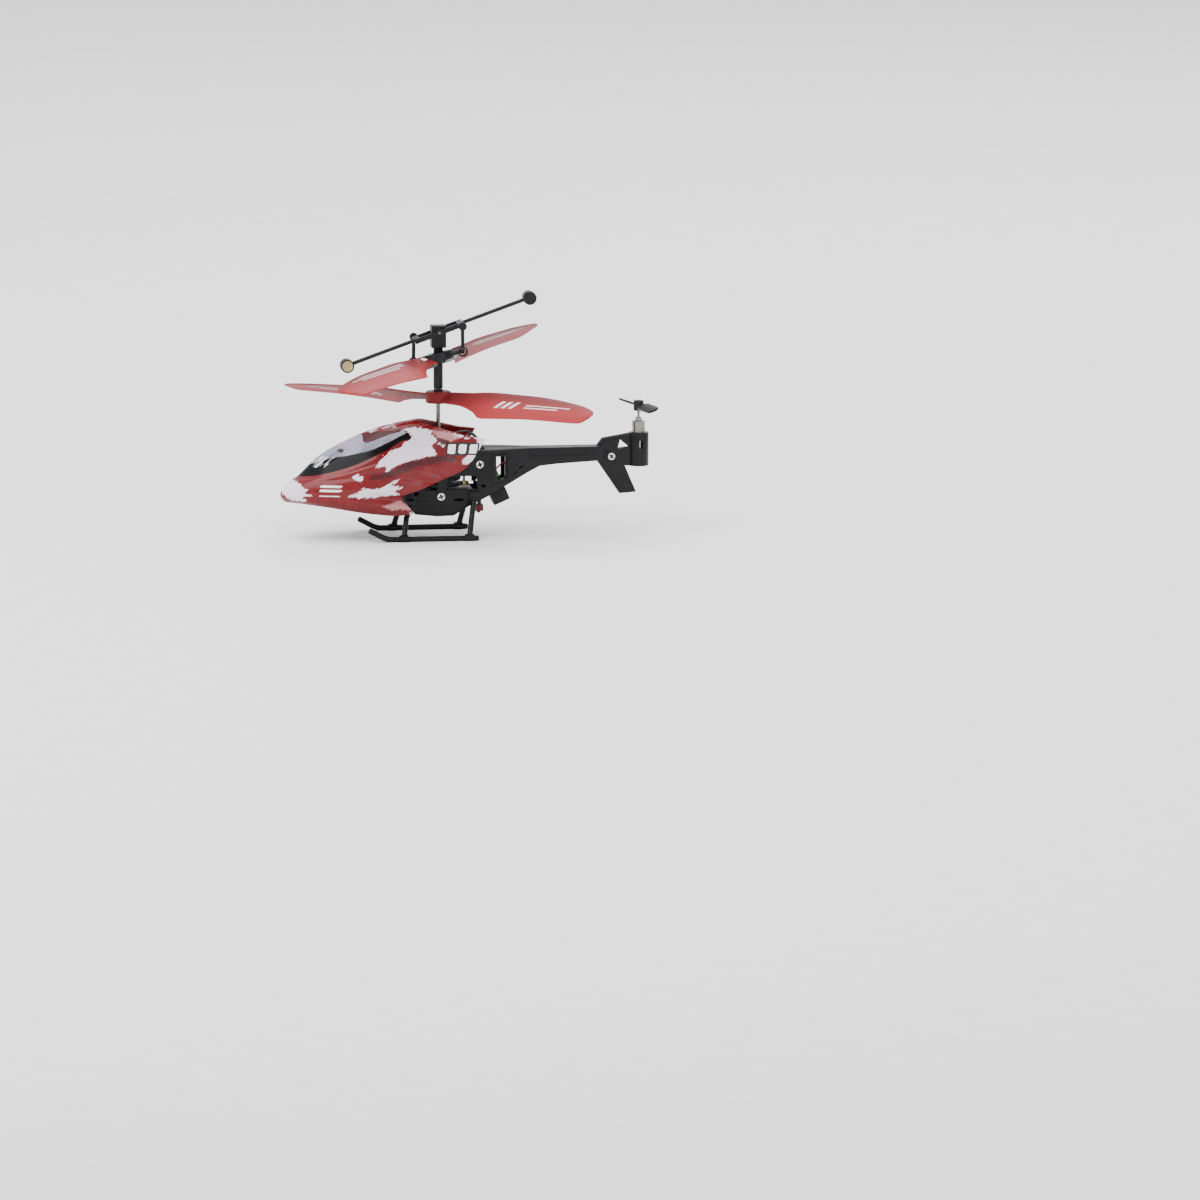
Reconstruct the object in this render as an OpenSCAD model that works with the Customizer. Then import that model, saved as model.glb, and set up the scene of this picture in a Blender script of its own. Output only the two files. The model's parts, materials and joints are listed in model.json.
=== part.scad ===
// Small indoor remote control helicopter with two counter-rotating main rotors, a flybar and a tail rotor.
// Axes: +X is the nose, +Y is the port side, +Z is up. The ground is Z = 0. Millimetres.

/* [Rotors] */
// Diameter swept by either main rotor
rotor_d = 125; // [105:1:150]
// Height of the lower rotor's blade roots above the ground
lower_rotor_z = 46.6; // [45:0.1:50]
// Height of the upper rotor's pivot above the lower rotor
rotor_gap = 13.4; // [13:0.1:18]
// Thickness of a main blade
blade_t = 0.7; // [0.5:0.05:1]
// Diameter swept by the tail rotor
tail_rotor_d = 28; // [22:0.5:34]

/* [Rest pose] */
// Direction of the lower rotor, counter-clockwise from the nose
lower_turn = 141; // [0:1:180]
// Direction of the upper rotor, counter-clockwise from the nose
upper_turn = 48; // [40:1:55]
// How far the upper rotor has teetered, its forward blade down
teeter_rest = 4.2; // [-6:0.1:6]
// How far the flybar is tilted, its forward end down
flybar_rest = 19.5; // [-22:0.5:22]
// Direction of the tail rotor
tail_turn = 105; // [0:1:180]

/* [Shafts and gears] */
// Diameter of the inner shaft, which turns the upper rotor
inner_shaft_d = 0.8; // [0.65:0.05:1]
// Wall of the tube that turns the lower rotor
tube_wall = 0.26; // [0.2:0.02:0.35]
// Radial clearance of a running fit
run_gap = 0.04; // [0.02:0.01:0.1]
// Module of the gear teeth
gear_module = 0.3; // [0.28:0.01:0.32]
// Teeth on each main gear
gear_teeth = 48; // [44:4:52]
// Diameter of a main motor
motor_d = 6; // [5:0.1:7.2]
// Length of a main motor's can
motor_len = 10.5; // [8.5:0.1:12.6]

/* [Airframe] */
// Width of the frame outside
frame_w = 14; // [12:0.1:16.8]
// Wall of the frame halves
wall = 1.2; // [1:0.05:1.45]
// Length of the tail boom behind the mast
boom_len = 53; // [44:0.5:64]
// Wall of the canopy shell and its window
canopy_t = 0.9; // [0.7:0.05:1.1]

/* [Skids and flybar] */
// Diameter of a skid runner
runner_d = 1.9; // [1.5:0.05:2.3]
// Distance between the runners' centre lines
skid_track = 28; // [24:0.5:34]
// Distance between the flybar's weights
flybar_span = 65; // [54:0.5:78]
// Diameter of a flybar weight
weight_d = 4.5; // [3.5:0.1:5]

/* [Hidden] */
$fn = 48;
eps = 0.01;

// The mast stands this far ahead of the middle of the object's length, which is the origin.
mast_x = 9.1;

// Shafts, from the centre outward
inner_r = inner_shaft_d / 2;
tube_in_r = inner_r + run_gap;
tube_out_r = tube_in_r + tube_wall;
motor_r = motor_d / 2;
motor_shaft_r = 0.4;

// Gear train
pinion_teeth = 9;
gear_pitch_r = gear_module * gear_teeth / 2;
pinion_pitch_r = gear_module * pinion_teeth / 2;
gear_backlash = 0.1;
centre_dist = gear_pitch_r + pinion_pitch_r + gear_backlash;
gear_t = 1.2;
lower_gear_z = 16.9;
upper_gear_z = 19;
gear_tip_r = gear_pitch_r + gear_module;

// Levels inside the frame
lower_plate_z = 15.4;
lower_plate_t = 0.8;
motor_plate_z = 20.9;
motor_plate_t = 0.8;
motor_z = motor_plate_z + motor_plate_t;
deck_z = 29.2;
bush_r = 2;
upper_rotor_z = lower_rotor_z + rotor_gap;

// Frame
frame_front = centre_dist + motor_r + 1.55;
boom_end = -boom_len;
half_w = frame_w / 2;
inner_half_w = half_w - wall;
boom_half_w = 2.8;
boom_bottom = 24.4;
screw_at = [[0, 14], [-(centre_dist + motor_r + 1.35), 24.6]];
boss_r = 1.3;
screw_r = 0.55;
screw_head_r = 1.45;

// Side view of the frame and the boom, as [X, Z], counter-clockwise
side_outline = [
    [frame_front, 13.8], [frame_front, deck_z - 1.6], [frame_front - 1.6, deck_z],
    [boom_end, deck_z], [boom_end, boom_bottom], [-39.8, 23.7], [-33.7, 23.1],
    [-22.1, 17.2], [-16.3, 14], [-12.8, 12.3], [-8.2, 10], [-4.3, 7.5], [1.5, 7.35], [8.65, 8.1]
];
// The frame seen from above, as [X, Y], counter-clockwise
plan_outline = [
    [frame_front, -half_w + 1.6], [frame_front, half_w - 1.6], [frame_front - 1.7, half_w],
    [-19, half_w], [-30, boom_half_w + 0.4], [boom_end, boom_half_w],
    [boom_end, -boom_half_w], [-30, -boom_half_w - 0.4], [-19, -half_w], [frame_front - 1.7, -half_w]
];

// Block under the rear bay that holds the charging socket and the switch
block_at = [-20.25, 0, 13.2];
block_tilt = 23.4;
block_len = 5.66;
block_h = 4.2;
board_t = 0.8;
half_block_w = 3.2;
jack_r = 0.9;
jack_depth = 3.6;
slider_travel = 0.75;

// Skids
runner_r = runner_d / 2;
runner_flat = 0.1;
runner_z = runner_r - runner_flat;
runner_y = skid_track / 2;
runner_rear = -11.4;
runner_front = 17;
bend_r = 8;
bend_turn = 28;
tip_len = 4.6;

// Rotor head
link_arm = 10.4;
stud_x = link_arm * sin(upper_turn);
stud_y = link_arm * cos(upper_turn);
flybar_z = upper_rotor_z + 8.5;
feather_rest = flybar_rest * sin(upper_turn);
pin_r = 0.4;
sleeve_r = 1.6;
ring_in_r = sleeve_r + 0.45;
ring_out_r = ring_in_r + 1.05;
ring_h = 1.9;
yoke_in_r = ring_out_r + 0.35;
yoke_out_r = yoke_in_r + 1.95;
yoke_h = 2.8;
slab = [4.9, 4.4];
slab_z = upper_rotor_z + 3.3;
slab_top = flybar_z + 2.2;
rail_in = slab[1] / 2 + 0.7;
rail_w = 0.9;
rail_out = rail_in + rail_w;
stud_r = 0.55;
eye_r = 1.4;
eye_w = 1.4;
ball_r = 0.75;
ball_gap = 0.45;
rod_r = 0.65;
weight_r = weight_d / 2;
weight_len = 4.4;

// Tail, measured from the end of the boom
tail_x = boom_end - 14.4;
barrel_r = 3.35;
tail_motor_r = 2.15;
tail_hub_z = 40.7;
fin_t = 2.6;
fin_outline = [
    [0, boom_bottom + 0.2], [0, deck_z - 0.2], [-2.1, 31.7], [-12.3, 33.4], [-14.4, 33.4],
    [-14.4, 22.4], [-9.6, 22.4], [-13.4, 13.5], [-7.8, 13.1], [-0.3, boom_bottom - 0.2]
];

// Canopy: port half as seven ribs from the rear edge to the centre line, each a list of ten
// [X, Y, Z] points from the bottom edge up to the edge of the mast slot. Rows 5 and 7 bound the window.
canopy_ribs = [
    [[9.8, 12.4, 9.1], [11.2, 13, 11.2], [13.9, 13.5, 14.9], [7.5, 13.8, 17.5], [0.5, 13.9, 20.6],
     [-5.5, 13.8, 23.1], [-8.4, 13.6, 25.3], [-10.4, 13.6, 28], [-12.2, 13.8, 31], [-14, 14, 34]],
    [[15.5, 12.8, 8.6], [17, 13.6, 11.6], [18.8, 13.9, 15.2], [13.5, 14, 19], [8, 14, 23],
     [3, 13.4, 27.5], [0.5, 12.8, 30], [-1.5, 12.2, 32], [-3.8, 11.9, 34], [-6, 11.6, 35.6]],
    [[21, 12.6, 9], [22.5, 13.6, 11.8], [24.2, 14, 15.3], [21, 13.9, 19.5], [16.5, 13.2, 26],
     [11, 9.6, 33.6], [10.7, 8.4, 35.2], [11.4, 7.2, 36.4], [7, 7.4, 37.3], [2.5, 7.8, 37.9]],
    [[28, 11.6, 9.8], [29.5, 12.9, 12.3], [30.8, 13.3, 15.6], [28.3, 13.1, 19.8], [24.3, 12.6, 25],
     [19.2, 11, 30.2], [18, 9, 33.6], [16, 5.6, 36.4], [11, 5.6, 37.6], [5, 5.8, 38.6]],
    [[37.5, 8.9, 11.2], [39.2, 10.2, 13.2], [40.2, 10.7, 16], [37.8, 10.9, 19.2], [34.5, 10.8, 22.2],
     [30, 10.4, 25.4], [26.8, 8.2, 31], [20.5, 3.8, 35.9], [13.5, 3.8, 37.8], [6.4, 3.9, 39]],
    [[46, 5, 12.1], [48.2, 5.8, 13.7], [48, 6.2, 16.6], [46.2, 6.6, 18.9], [43.6, 7, 20.5],
     [41, 7, 22.1], [34.8, 4.9, 28.6], [24.3, 1.9, 35.1], [15.8, 1.9, 37.4], [7.1, 2, 39.3]],
    [[51.8, 0, 12.4], [53.1, 0, 14.4], [52.2, 0, 16.9], [50.5, 0, 18.6], [49, 0, 19.9],
     [47.2, 0, 21], [39.4, 0, 28.1], [27, 0, 34.4], [17.3, 0, 37], [7.3, 0, 39.4]]
];
rib_steps = 3;
row_steps = 3;
window_rows = [5, 7];
window_ribs = [2, 10];

// Main blade: [radius, forward edge, rear edge, pitch] at each station of a 125 mm rotor
blade_stations = [
    [3.4, 3, 3.4, 27], [11, 3.6, 4.2, 27], [17, 4.6, 7, 27], [21, 5, 10.2, 26],
    [27, 5.3, 10.8, 23], [38, 5.4, 10.7, 19.5], [48, 3.8, 10.9, 18], [56, 1.4, 11.2, 17.5],
    [60.8, -1.4, 10.6, 17.5], [62.3, -4, 7, 17.5]
];
blade_nominal_r = 62.3;
blade_camber = 0.09;
upper_root_r = 5.6;

// Routes of the wires, chosen by hand
wire_r = 0.3;
front_wire = [[-15.2, 2.6, 22], [-14.6, 3.2, 27], [-14.2, 2.6, 31], [-11, 1.6, 34], [-9, 1.2, 35.2],
              [-3.6, 2.9, 34.6], [3, 2.9, 34.4], [6.2, 1.6, 34.4], [7.6, 1, 33.4]];
rear_wire = [[-15.2, -2.6, 22], [-14.6, -3.2, 27], [-14.2, -2.4, 31], [-11.6, -1.4, 34], [-9.6, -1, 33.4]];
tail_wire = [[-17.5, 1.6, 20.6], [-22, 1.3, 24.5], [-28, 1, 26.4], [-40, 0.6, 26.8], [-50, 0.5, 27], [-58, 0.5, 27],
             [-64.6, 0.5, 27]];

// ---------- helpers ----------

module at_mast() { translate([mast_x, 0, 0]) children(); }

module both_sides() { children(); mirror([0, 1, 0]) children(); }

// A cylinder from p to q
module rod(p, q, r) {
    v = q - p;
    translate(p) rotate([0, acos(v[2] / norm(v)), atan2(v[1], v[0])]) cylinder(h = norm(v), r = r);
}

// A cylinder along Y, from y0 to y1, at [x, z]
module along_y(at, y0, y1, r) {
    translate([at[0], y1, at[1]]) rotate([90, 0, 0]) cylinder(h = y1 - y0, r = r);
}

// An outline in X and Z, given a width in Y
module side_plate(outline, width) {
    rotate([90, 0, 0]) linear_extrude(height = width, center = true) polygon(outline);
}

module block_frame() { translate(block_at) rotate([0, block_tilt, 0]) children(); }
module teeter_frame() { translate([0, 0, upper_rotor_z]) rotate([0, teeter_rest, upper_turn]) children(); }
module rotor_frame() { teeter_frame() rotate([feather_rest, 0, 0]) children(); }
module flybar_hinge() { translate([0, 0, flybar_z]) rotate([0, flybar_rest, 0]) children(); }
module two_ends() { children(); rotate([0, 0, 180]) children(); }

function edge_normal(a, b) = let (d = b - a) [d[1], -d[0]] / norm(d);
// A counter-clockwise outline moved inward by d
function inset(p, d) = let (n = len(p)) [for (i = [0:n - 1])
    let (e = edge_normal(p[(i + n - 1) % n], p[i]), f = edge_normal(p[i], p[(i + 1) % n]))
    p[i] - (e + f) * d / (1 + e * f)];

function spline(a, b, c, d, t) =
    b + (c - a) * t / 2 + (2 * a - 5 * b + 4 * c - d) * t * t / 2 + (3 * b - a - 3 * c + d) * t * t * t / 2;
function knot(p, i) = i < 0 ? 2 * p[0] - p[1] : i >= len(p) ? 2 * p[len(p) - 1] - p[len(p) - 2] : p[i];
// The list p, with each gap divided into the given number of steps along a smooth curve
function smooth(p, steps) = [for (k = [0:(len(p) - 1) * steps])
    let (i = min(floor(k / steps), len(p) - 2), t = k / steps - i)
    spline(knot(p, i - 1), p[i], p[i + 1], knot(p, i + 2), t)];
function turned(grid) = [for (j = [0:len(grid[0]) - 1]) [for (i = [0:len(grid) - 1]) grid[i][j]]];
function unit(v) = v / norm(v);
// Unit normal of a grid of points at [i][j]
function grid_normal(g, i, j) = let (
    a = g[min(i + 1, len(g) - 1)][j] - g[max(i - 1, 0)][j],
    b = g[i][min(j + 1, len(g[0]) - 1)] - g[i][max(j - 1, 0)])
    unit(cross(a, b));

// A skin between two grids of points of the same size. Cells in the hole, given as [i0, i1, j0, j1],
// are left out, or are the only ones made when inside is true.
module skin(top, under, hole = [0, 0, 0, 0], inside = false) {
    ni = len(top) - 1;
    nj = len(top[0]) - 1;
    function vertex(i, j) = i * (nj + 1) + j;
    function in_hole(i, j) = i >= hole[0] && i < hole[1] && j >= hole[2] && j < hole[3];
    function kept(i, j) = i >= 0 && j >= 0 && i < ni && j < nj && in_hole(i, j) == inside;
    count = (ni + 1) * (nj + 1);
    cells = [for (i = [0:ni - 1]) for (j = [0:nj - 1]) if (kept(i, j)) [i, j]];
    tops = [for (c = cells) let (a = vertex(c[0], c[1]), b = vertex(c[0] + 1, c[1]),
        d = vertex(c[0] + 1, c[1] + 1), e = vertex(c[0], c[1] + 1)) each [[a, d, b], [a, e, d]]];
    unders = [for (f = tops) [f[0] + count, f[2] + count, f[1] + count]];
    // Walls run from vertex m to vertex n, and both neighbours split a wall along the same diagonal.
    walls = [for (c = cells) let (i = c[0], j = c[1]) each [
        if (!kept(i, j - 1)) [vertex(i, j), vertex(i + 1, j), false],
        if (!kept(i, j + 1)) [vertex(i, j + 1), vertex(i + 1, j + 1), true],
        if (!kept(i - 1, j)) [vertex(i, j), vertex(i, j + 1), true],
        if (!kept(i + 1, j)) [vertex(i + 1, j), vertex(i + 1, j + 1), false]]];
    sides = [for (w = walls) let (m = w[0], n = w[1]) each (w[2]
        ? [[m, n + count, n], [m, m + count, n + count]]
        : [[m, n, n + count], [m, n + count, m + count]])];
    polyhedron(points = concat([for (r = top) each r], [for (r = under) each r]),
        faces = concat(tops, unders, sides));
}

// A tube of radius r swept along a route, with eight sides
module swept_wire(route, r) {
    sides = 8;
    path = smooth(route, 4);
    last = len(path) - 1;
    points = [for (k = [0:last]) let (
        t = unit(path[min(k + 1, last)] - path[max(k - 1, 0)]), a = unit(cross(t, [0, 1, 0.3])), b = cross(t, a))
        each [for (s = [0:sides - 1]) path[k] + r * (a * cos(360 * s / sides) + b * sin(360 * s / sides))]];
    polyhedron(points = points, faces = concat(
        [[for (s = [0:sides - 1]) s]], [[for (s = [sides - 1:-1:0]) last * sides + s]],
        [for (k = [0:last - 1]) for (s = [0:sides - 1]) let (
            a = k * sides + s, b = k * sides + (s + 1) % sides, c = a + sides, d = b + sides)
            each [[a, c, d], [a, d, b]]]));
}

// A spur gear's outline, with straight-sided teeth
function tooth_ring(teeth, root, tip, root_half, tip_half) = [for (k = [0:teeth - 1]) let (a = 360 * k / teeth)
    each [for (s = [[root, -root_half], [tip, -tip_half], [tip, tip_half], [root, root_half]])
        [s[0] * cos(a) - s[1] * sin(a), s[0] * sin(a) + s[1] * cos(a)]]];

module main_gear(z, bore_r, hub_from, hub_to, hub_r) {
    root = gear_pitch_r - 1.3 * gear_module;
    difference() {
        union() {
            translate([0, 0, z]) linear_extrude(height = gear_t)
                polygon(tooth_ring(gear_teeth, root, gear_tip_r - 0.03, 0.8 * gear_module, 0.25 * gear_module));
            translate([0, 0, hub_from]) cylinder(h = hub_to - hub_from, r = hub_r);
        }
        translate([0, 0, hub_from - 1]) cylinder(h = hub_to - hub_from + 2, r = bore_r);
        // Lightening holes
        for (k = [0:5]) rotate([0, 0, 60 * k + 30])
            translate([4.4, 0, z - 1]) cylinder(h = gear_t + 2, r = 1.3);
    }
}

module pinion(z, h, turn) {
    root = pinion_pitch_r - 1.3 * gear_module;
    rotate([0, 0, turn]) translate([0, 0, z]) difference() {
        linear_extrude(height = h)
            polygon(tooth_ring(pinion_teeth, root, pinion_pitch_r + 0.9 * gear_module,
                0.62 * gear_module, 0.25 * gear_module));
        translate([0, 0, -1]) cylinder(h = h + 2, r = motor_shaft_r);
    }
}

// A screw along Y, its head standing on the face at y0, with a cross slot
module cross_screw(at, y0, head_r, shank_r, depth) {
    head_h = 0.7;
    difference() {
        union() {
            along_y(at, y0, y0 + head_h, head_r);
            along_y(at, y0 - depth, y0, shank_r);
        }
        translate([at[0], y0 + head_h, at[1]]) for (turn = [20, 110])
            rotate([0, turn, 0]) cube([head_r * 1.3, 0.7, 0.45], center = true);
    }
}

// ---------- canopy ----------

function mirrored_rib(p) = [for (q = p) [q[0], -q[1], q[2]]];
function canopy_grid() = let (
    ribs = concat(canopy_ribs, [for (k = [len(canopy_ribs) - 2:-1:0]) mirrored_rib(canopy_ribs[k])]))
    turned([for (row = turned(ribs)) smooth(row, rib_steps)]);
function fine_rows(g) = [for (rib = g) smooth(rib, row_steps)];
function thinned(g, t) = [for (i = [0:len(g) - 1]) [for (j = [0:len(g[0]) - 1]) g[i][j] - t * grid_normal(g, i, j)]];

module canopy_part(inside) {
    outer = fine_rows(canopy_grid());
    skin(outer, thinned(outer, -canopy_t), [window_ribs[0] * rib_steps, window_ribs[1] * rib_steps,
        window_rows[0] * row_steps, window_rows[1] * row_steps], inside);
}

module canopy_shell() { color("firebrick") at_mast() canopy_part(false); }
module windscreen() { color([0.08, 0.07, 0.08]) at_mast() canopy_part(true); }

peg_at = [6.4, 21.6];
nose_peg_at = [32, 15.4];
module canopy_pegs() {
    color([0.12, 0.12, 0.13]) at_mast() both_sides() {
        along_y(peg_at, half_w, 13.25, 1.1);
        along_y(nose_peg_at, tongue_half_w, 12.5, 0.9);
    }
}

// ---------- frame ----------

tongue_half_w = 4;
tongue_z = 15.2;
tongue_t = 1.3;
tongue_front = 40;

module frame_solid() {
    intersection() {
        side_plate(side_outline, frame_w);
        linear_extrude(height = deck_z + 1) polygon(plan_outline);
    }
}

module frame_cavity() {
    intersection() {
        side_plate(inset(side_outline, wall), frame_w);
        linear_extrude(height = deck_z + 1) polygon(inset(plan_outline, wall));
    }
}

module slot_y(at, len, h, tilt) {
    translate([at[0], 0, at[1]]) rotate([0, tilt, 0]) cube([len, frame_w + 4, h], center = true);
}

slot_top = motor_plate_z - 0.2;
slot_bottom = lower_plate_z + lower_plate_t + 0.1;
module frame_cuts() {
    // Openings for the gears' rims
    translate([-12.6, -frame_w, slot_bottom]) cube([18, 2 * frame_w, slot_top - slot_bottom]);
    // Rear bay window and the small slots
    translate([-21.7, -frame_w, 19]) cube([3.1, 2 * frame_w, 8]);
    along_y([8.3, 15], -frame_w, frame_w, 0.8);
    slot_y([-6, 12.8], 3, 0.8, 0);
    slot_y([-14.4, 17.2], 1.9, 0.7, -25);
    slot_y([-27.3, 22.9], 1.9, 0.7, 20);
    slot_y([-26, 21.4], 3.4, 0.3, 20);
    // Tongue's slot in the front wall
    translate([frame_front - wall - 1, -tongue_half_w, tongue_z]) cube([wall + 2, 2 * tongue_half_w, tongue_t]);
    // Mast bush, motors and wires through the deck
    translate([0, 0, deck_z - wall - 1]) cylinder(h = wall + 2, r = bush_r);
    for (s = [-1, 1]) translate([s * centre_dist, 0, deck_z - wall - 1]) cylinder(h = wall + 2, r = motor_r);
    translate([-15.4, -4.2, deck_z - wall - 1]) cube([2, 8.4, wall + 2]);
    // Open end of the boom
    translate([boom_end - 1, -boom_half_w + wall, boom_bottom + wall])
        cube([wall + 2, 2 * (boom_half_w - wall), deck_z - boom_bottom - 2 * wall]);
    // Board's slot in the underside
    block_frame() translate([-block_len / 2 - 0.1, -board_t / 2, 0]) cube([block_len + 0.2, board_t, 7]);
    // Screw holes
    for (p = screw_at) along_y(p, -half_w - 1, half_w + 1, screw_r);
}

// Raised ribs on the hull's sides: rear end, front end and height
hull_ribs = [[-9, 8.2, 12], [-6, 8.2, 10.6]];
module frame_half(side) {
    rib_t = 0.35;
    difference() {
        union() {
            intersection() {
                difference() {
                    frame_solid();
                    frame_cavity();
                }
                translate([boom_end - 1, side > 0 ? 0 : -frame_w, 0])
                    cube([boom_len + frame_front + 2, frame_w, deck_z + 1]);
            }
            // Screw bosses
            for (p = screw_at) along_y(p, side > 0 ? 0 : -inner_half_w - eps, side > 0 ? inner_half_w + eps : 0, boss_r);
            // Raised ribs along the hull
            for (r = hull_ribs) translate([r[0], side > 0 ? half_w : -half_w - rib_t, r[2]])
                cube([r[1] - r[0], rib_t, 0.5]);
        }
        frame_cuts();
    }
    gear_post(side);
}

// A post that stands in front of the gears' rims
module gear_post(side) {
    post_y = gear_tip_r + 0.35;
    foot = screw_at[0][1] + screw_head_r + 0.2;
    top = slot_top + 1.4;
    difference() {
        translate([-1.5, side > 0 ? half_w - eps : -post_y - 1, foot]) cube([3, post_y + 1 - half_w + eps, top - foot]);
        translate([-2, side > 0 ? half_w - 1 : -post_y, slot_bottom]) cube([4, post_y - half_w + 1, slot_top - slot_bottom]);
    }
}

module frame_left() { color([0.13, 0.13, 0.14]) at_mast() frame_half(1); }
module frame_right() { color([0.13, 0.13, 0.14]) at_mast() frame_half(-1); }

module front_tongue() {
    flange_t = 1;
    back = frame_front - wall;
    color([0.16, 0.16, 0.17]) at_mast() difference() {
        union() {
            translate([back - eps, -tongue_half_w, tongue_z])
                cube([tongue_front - back + eps, 2 * tongue_half_w, tongue_t]);
            translate([back - flange_t, -tongue_half_w, tongue_z - 1])
                cube([flange_t, 2 * tongue_half_w, 6.4]);
            // Stops that hold the battery
            for (x = [battery_x - 0.8, battery_x + battery_len])
                translate([x, -tongue_half_w, tongue_z]) cube([0.8, 2 * tongue_half_w, tongue_t + 1.6]);
            along_y(nose_peg_at, -tongue_half_w, tongue_half_w, 1.3);
        }
        // Room for the battery above the peg's boss
        translate([battery_x, -tongue_half_w - 1, tongue_z + tongue_t])
            cube([battery_len, 2 * tongue_half_w + 2, 4]);
    }
}

battery_x = 16;
battery_len = 20;
module battery_cell() {
    color([0.7, 0.71, 0.73]) at_mast()
        translate([battery_x, -6, tongue_z + tongue_t]) cube([battery_len, 12, 4.5]);
}

module lower_plate() {
    color([0.2, 0.2, 0.21]) at_mast() difference() {
        translate([-11, -inner_half_w, lower_plate_z])
            cube([21.4, 2 * inner_half_w, lower_plate_t]);
        translate([0, 0, lower_plate_z - 1]) cylinder(h = 4, r = 1.6);
    }
}

module motor_plate() {
    back = centre_dist + motor_r + 0.02;
    color([0.55, 0.56, 0.58]) at_mast() difference() {
        translate([-back, -inner_half_w, motor_plate_z])
            cube([2 * back - 1.3, 2 * inner_half_w, motor_plate_t]);
        translate([0, 0, motor_plate_z - 1]) cylinder(h = 4, r = tube_out_r + 0.4);
        for (s = [-1, 1]) translate([s * centre_dist, 0, motor_plate_z - 1]) cylinder(h = 4, r = 1);
    }
}

module bush(z, h, r, bore_r, flange_z) {
    difference() {
        union() {
            translate([0, 0, z]) cylinder(h = h, r = r);
            if (flange_z > 0) translate([0, 0, flange_z]) cylinder(h = 0.6, r = r + 0.8);
        }
        translate([0, 0, z - 1]) cylinder(h = h + 3, r = bore_r);
    }
}

module lower_bush() { color("goldenrod") at_mast() bush(lower_plate_z, 1.1, 1.6, inner_r + run_gap, 0); }
module upper_bush() {
    color("goldenrod") at_mast() bush(deck_z - wall, wall + 0.6, bush_r, tube_out_r + run_gap, deck_z);
}

// ---------- drive ----------

module motor_can(x, z, r, h, shaft_depth, from_top) {
    translate([x, 0, z]) difference() {
        cylinder(h = h, r = r);
        if (from_top) translate([0, 0, h - shaft_depth]) cylinder(h = shaft_depth + 1, r = motor_shaft_r + run_gap);
        else translate([0, 0, -1]) cylinder(h = shaft_depth + 1, r = motor_shaft_r + run_gap);
        // Flats on the sides of the can
        if (!from_top) for (s = [-1, 1]) translate([-r, s > 0 ? r - 0.25 : -r - 1 + 0.25, 2])
            cube([2 * r, 1, h]);
    }
}

motor_grip = 6;
module front_motor() { color("silver") at_mast() motor_can(centre_dist, motor_z, motor_r, motor_len, motor_grip, false); }
module rear_motor() { color("silver") at_mast() motor_can(-centre_dist, motor_z, motor_r, motor_len, motor_grip, false); }

module motor_caps() {
    color([0.9, 0.88, 0.8]) at_mast() {
        for (s = [-1, 1]) translate([s * centre_dist, 0, motor_z + motor_len]) {
            cylinder(h = 0.8, r = motor_r - 0.35);
            for (t = [-1, 1]) translate([t * 1 - 0.4, -0.6, 0.7]) cube([0.8, 1.2, 0.5]);
        }
        translate([tail_x, 0, 22.6]) cylinder(h = 0.6, r = tail_motor_r - 0.2);
    }
}

module pinion_shaft(x, z0) {
    translate([x, 0, z0]) cylinder(h = motor_z + motor_grip - 0.4 - z0, r = motor_shaft_r);
}
module front_pinion() { color([0.93, 0.92, 0.88]) at_mast() translate([centre_dist, 0, 0]) pinion(upper_gear_z - 0.1, 1.4, 0); }
module front_pinion_shaft() { color("silver") at_mast() pinion_shaft(centre_dist, upper_gear_z - 0.3); }
module rear_pinion() { color([0.93, 0.92, 0.88]) at_mast() translate([-centre_dist, 0, 0]) pinion(lower_gear_z - 0.1, 1.4, 20); }
module rear_pinion_shaft() { color("silver") at_mast() pinion_shaft(-centre_dist, lower_gear_z - 0.3); }

module outer_shaft() {
    top = lower_rotor_z + 2.4;
    color("silver") at_mast() translate([0, 0, upper_gear_z - 0.3]) difference() {
        cylinder(h = top - upper_gear_z + 0.3, r = tube_out_r);
        translate([0, 0, -1]) cylinder(h = top - upper_gear_z + 3, r = tube_in_r);
    }
}
module inner_shaft() {
    color("silver") at_mast() translate([0, 0, lower_plate_z + 0.1])
        cylinder(h = upper_rotor_z - 0.8 - lower_plate_z - 0.1, r = inner_r);
}
module upper_gear() { color([0.92, 0.92, 0.9]) at_mast() main_gear(upper_gear_z, tube_out_r, upper_gear_z, upper_gear_z + 1.6, 1.9); }
module lower_gear() {
    color([0.92, 0.92, 0.9]) at_mast() main_gear(lower_gear_z, inner_r, lower_gear_z - 0.1, lower_gear_z + gear_t + 0.4, 1.6);
}

// ---------- lower rotor ----------

function station(p) = [p[0] > 11 ? 11 + (p[0] - 11) * (rotor_d / 2 - 11) / (blade_nominal_r - 11) : p[0], p[1], p[2], p[3]];
function camber_at(r) = blade_camber * min(1, max(0, (r - 12) / 10));

// One blade along +X. Its forward edge is on the side of Y that lead gives, and raised by the pitch.
module main_blade(lead, root_r) {
    chord_steps = 8;
    stations = smooth([for (p = blade_stations) station(p)], 3);
    kept = [for (p = stations) if (p[0] >= root_r - eps) p];
    rows = concat([[root_r, kept[0][1], kept[0][2], kept[0][3]]], [for (p = kept) if (p[0] > root_r + 0.4) p]);
    function place(p, f, off) = let (
        across = p[1] - (p[1] + p[2]) * f,
        bow = camber_at(p[0]) * (p[1] + p[2]) * 4 * f * (1 - f) * 0.5 + off)
        [p[0], lead * (across * cos(p[3]) - bow * sin(p[3])), across * sin(p[3]) + bow * cos(p[3])];
    function half_t(f) = blade_t / 2 * (0.45 + 0.55 * min(1, 5 * min(f, 1 - f)));
    function sheet(s) = [for (p = rows) [for (k = [0:chord_steps]) let (f = k / chord_steps) place(p, f, s * half_t(f))]];
    if (lead > 0) skin(sheet(-1), sheet(1));
    else skin(sheet(1), sheet(-1));
}

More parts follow.
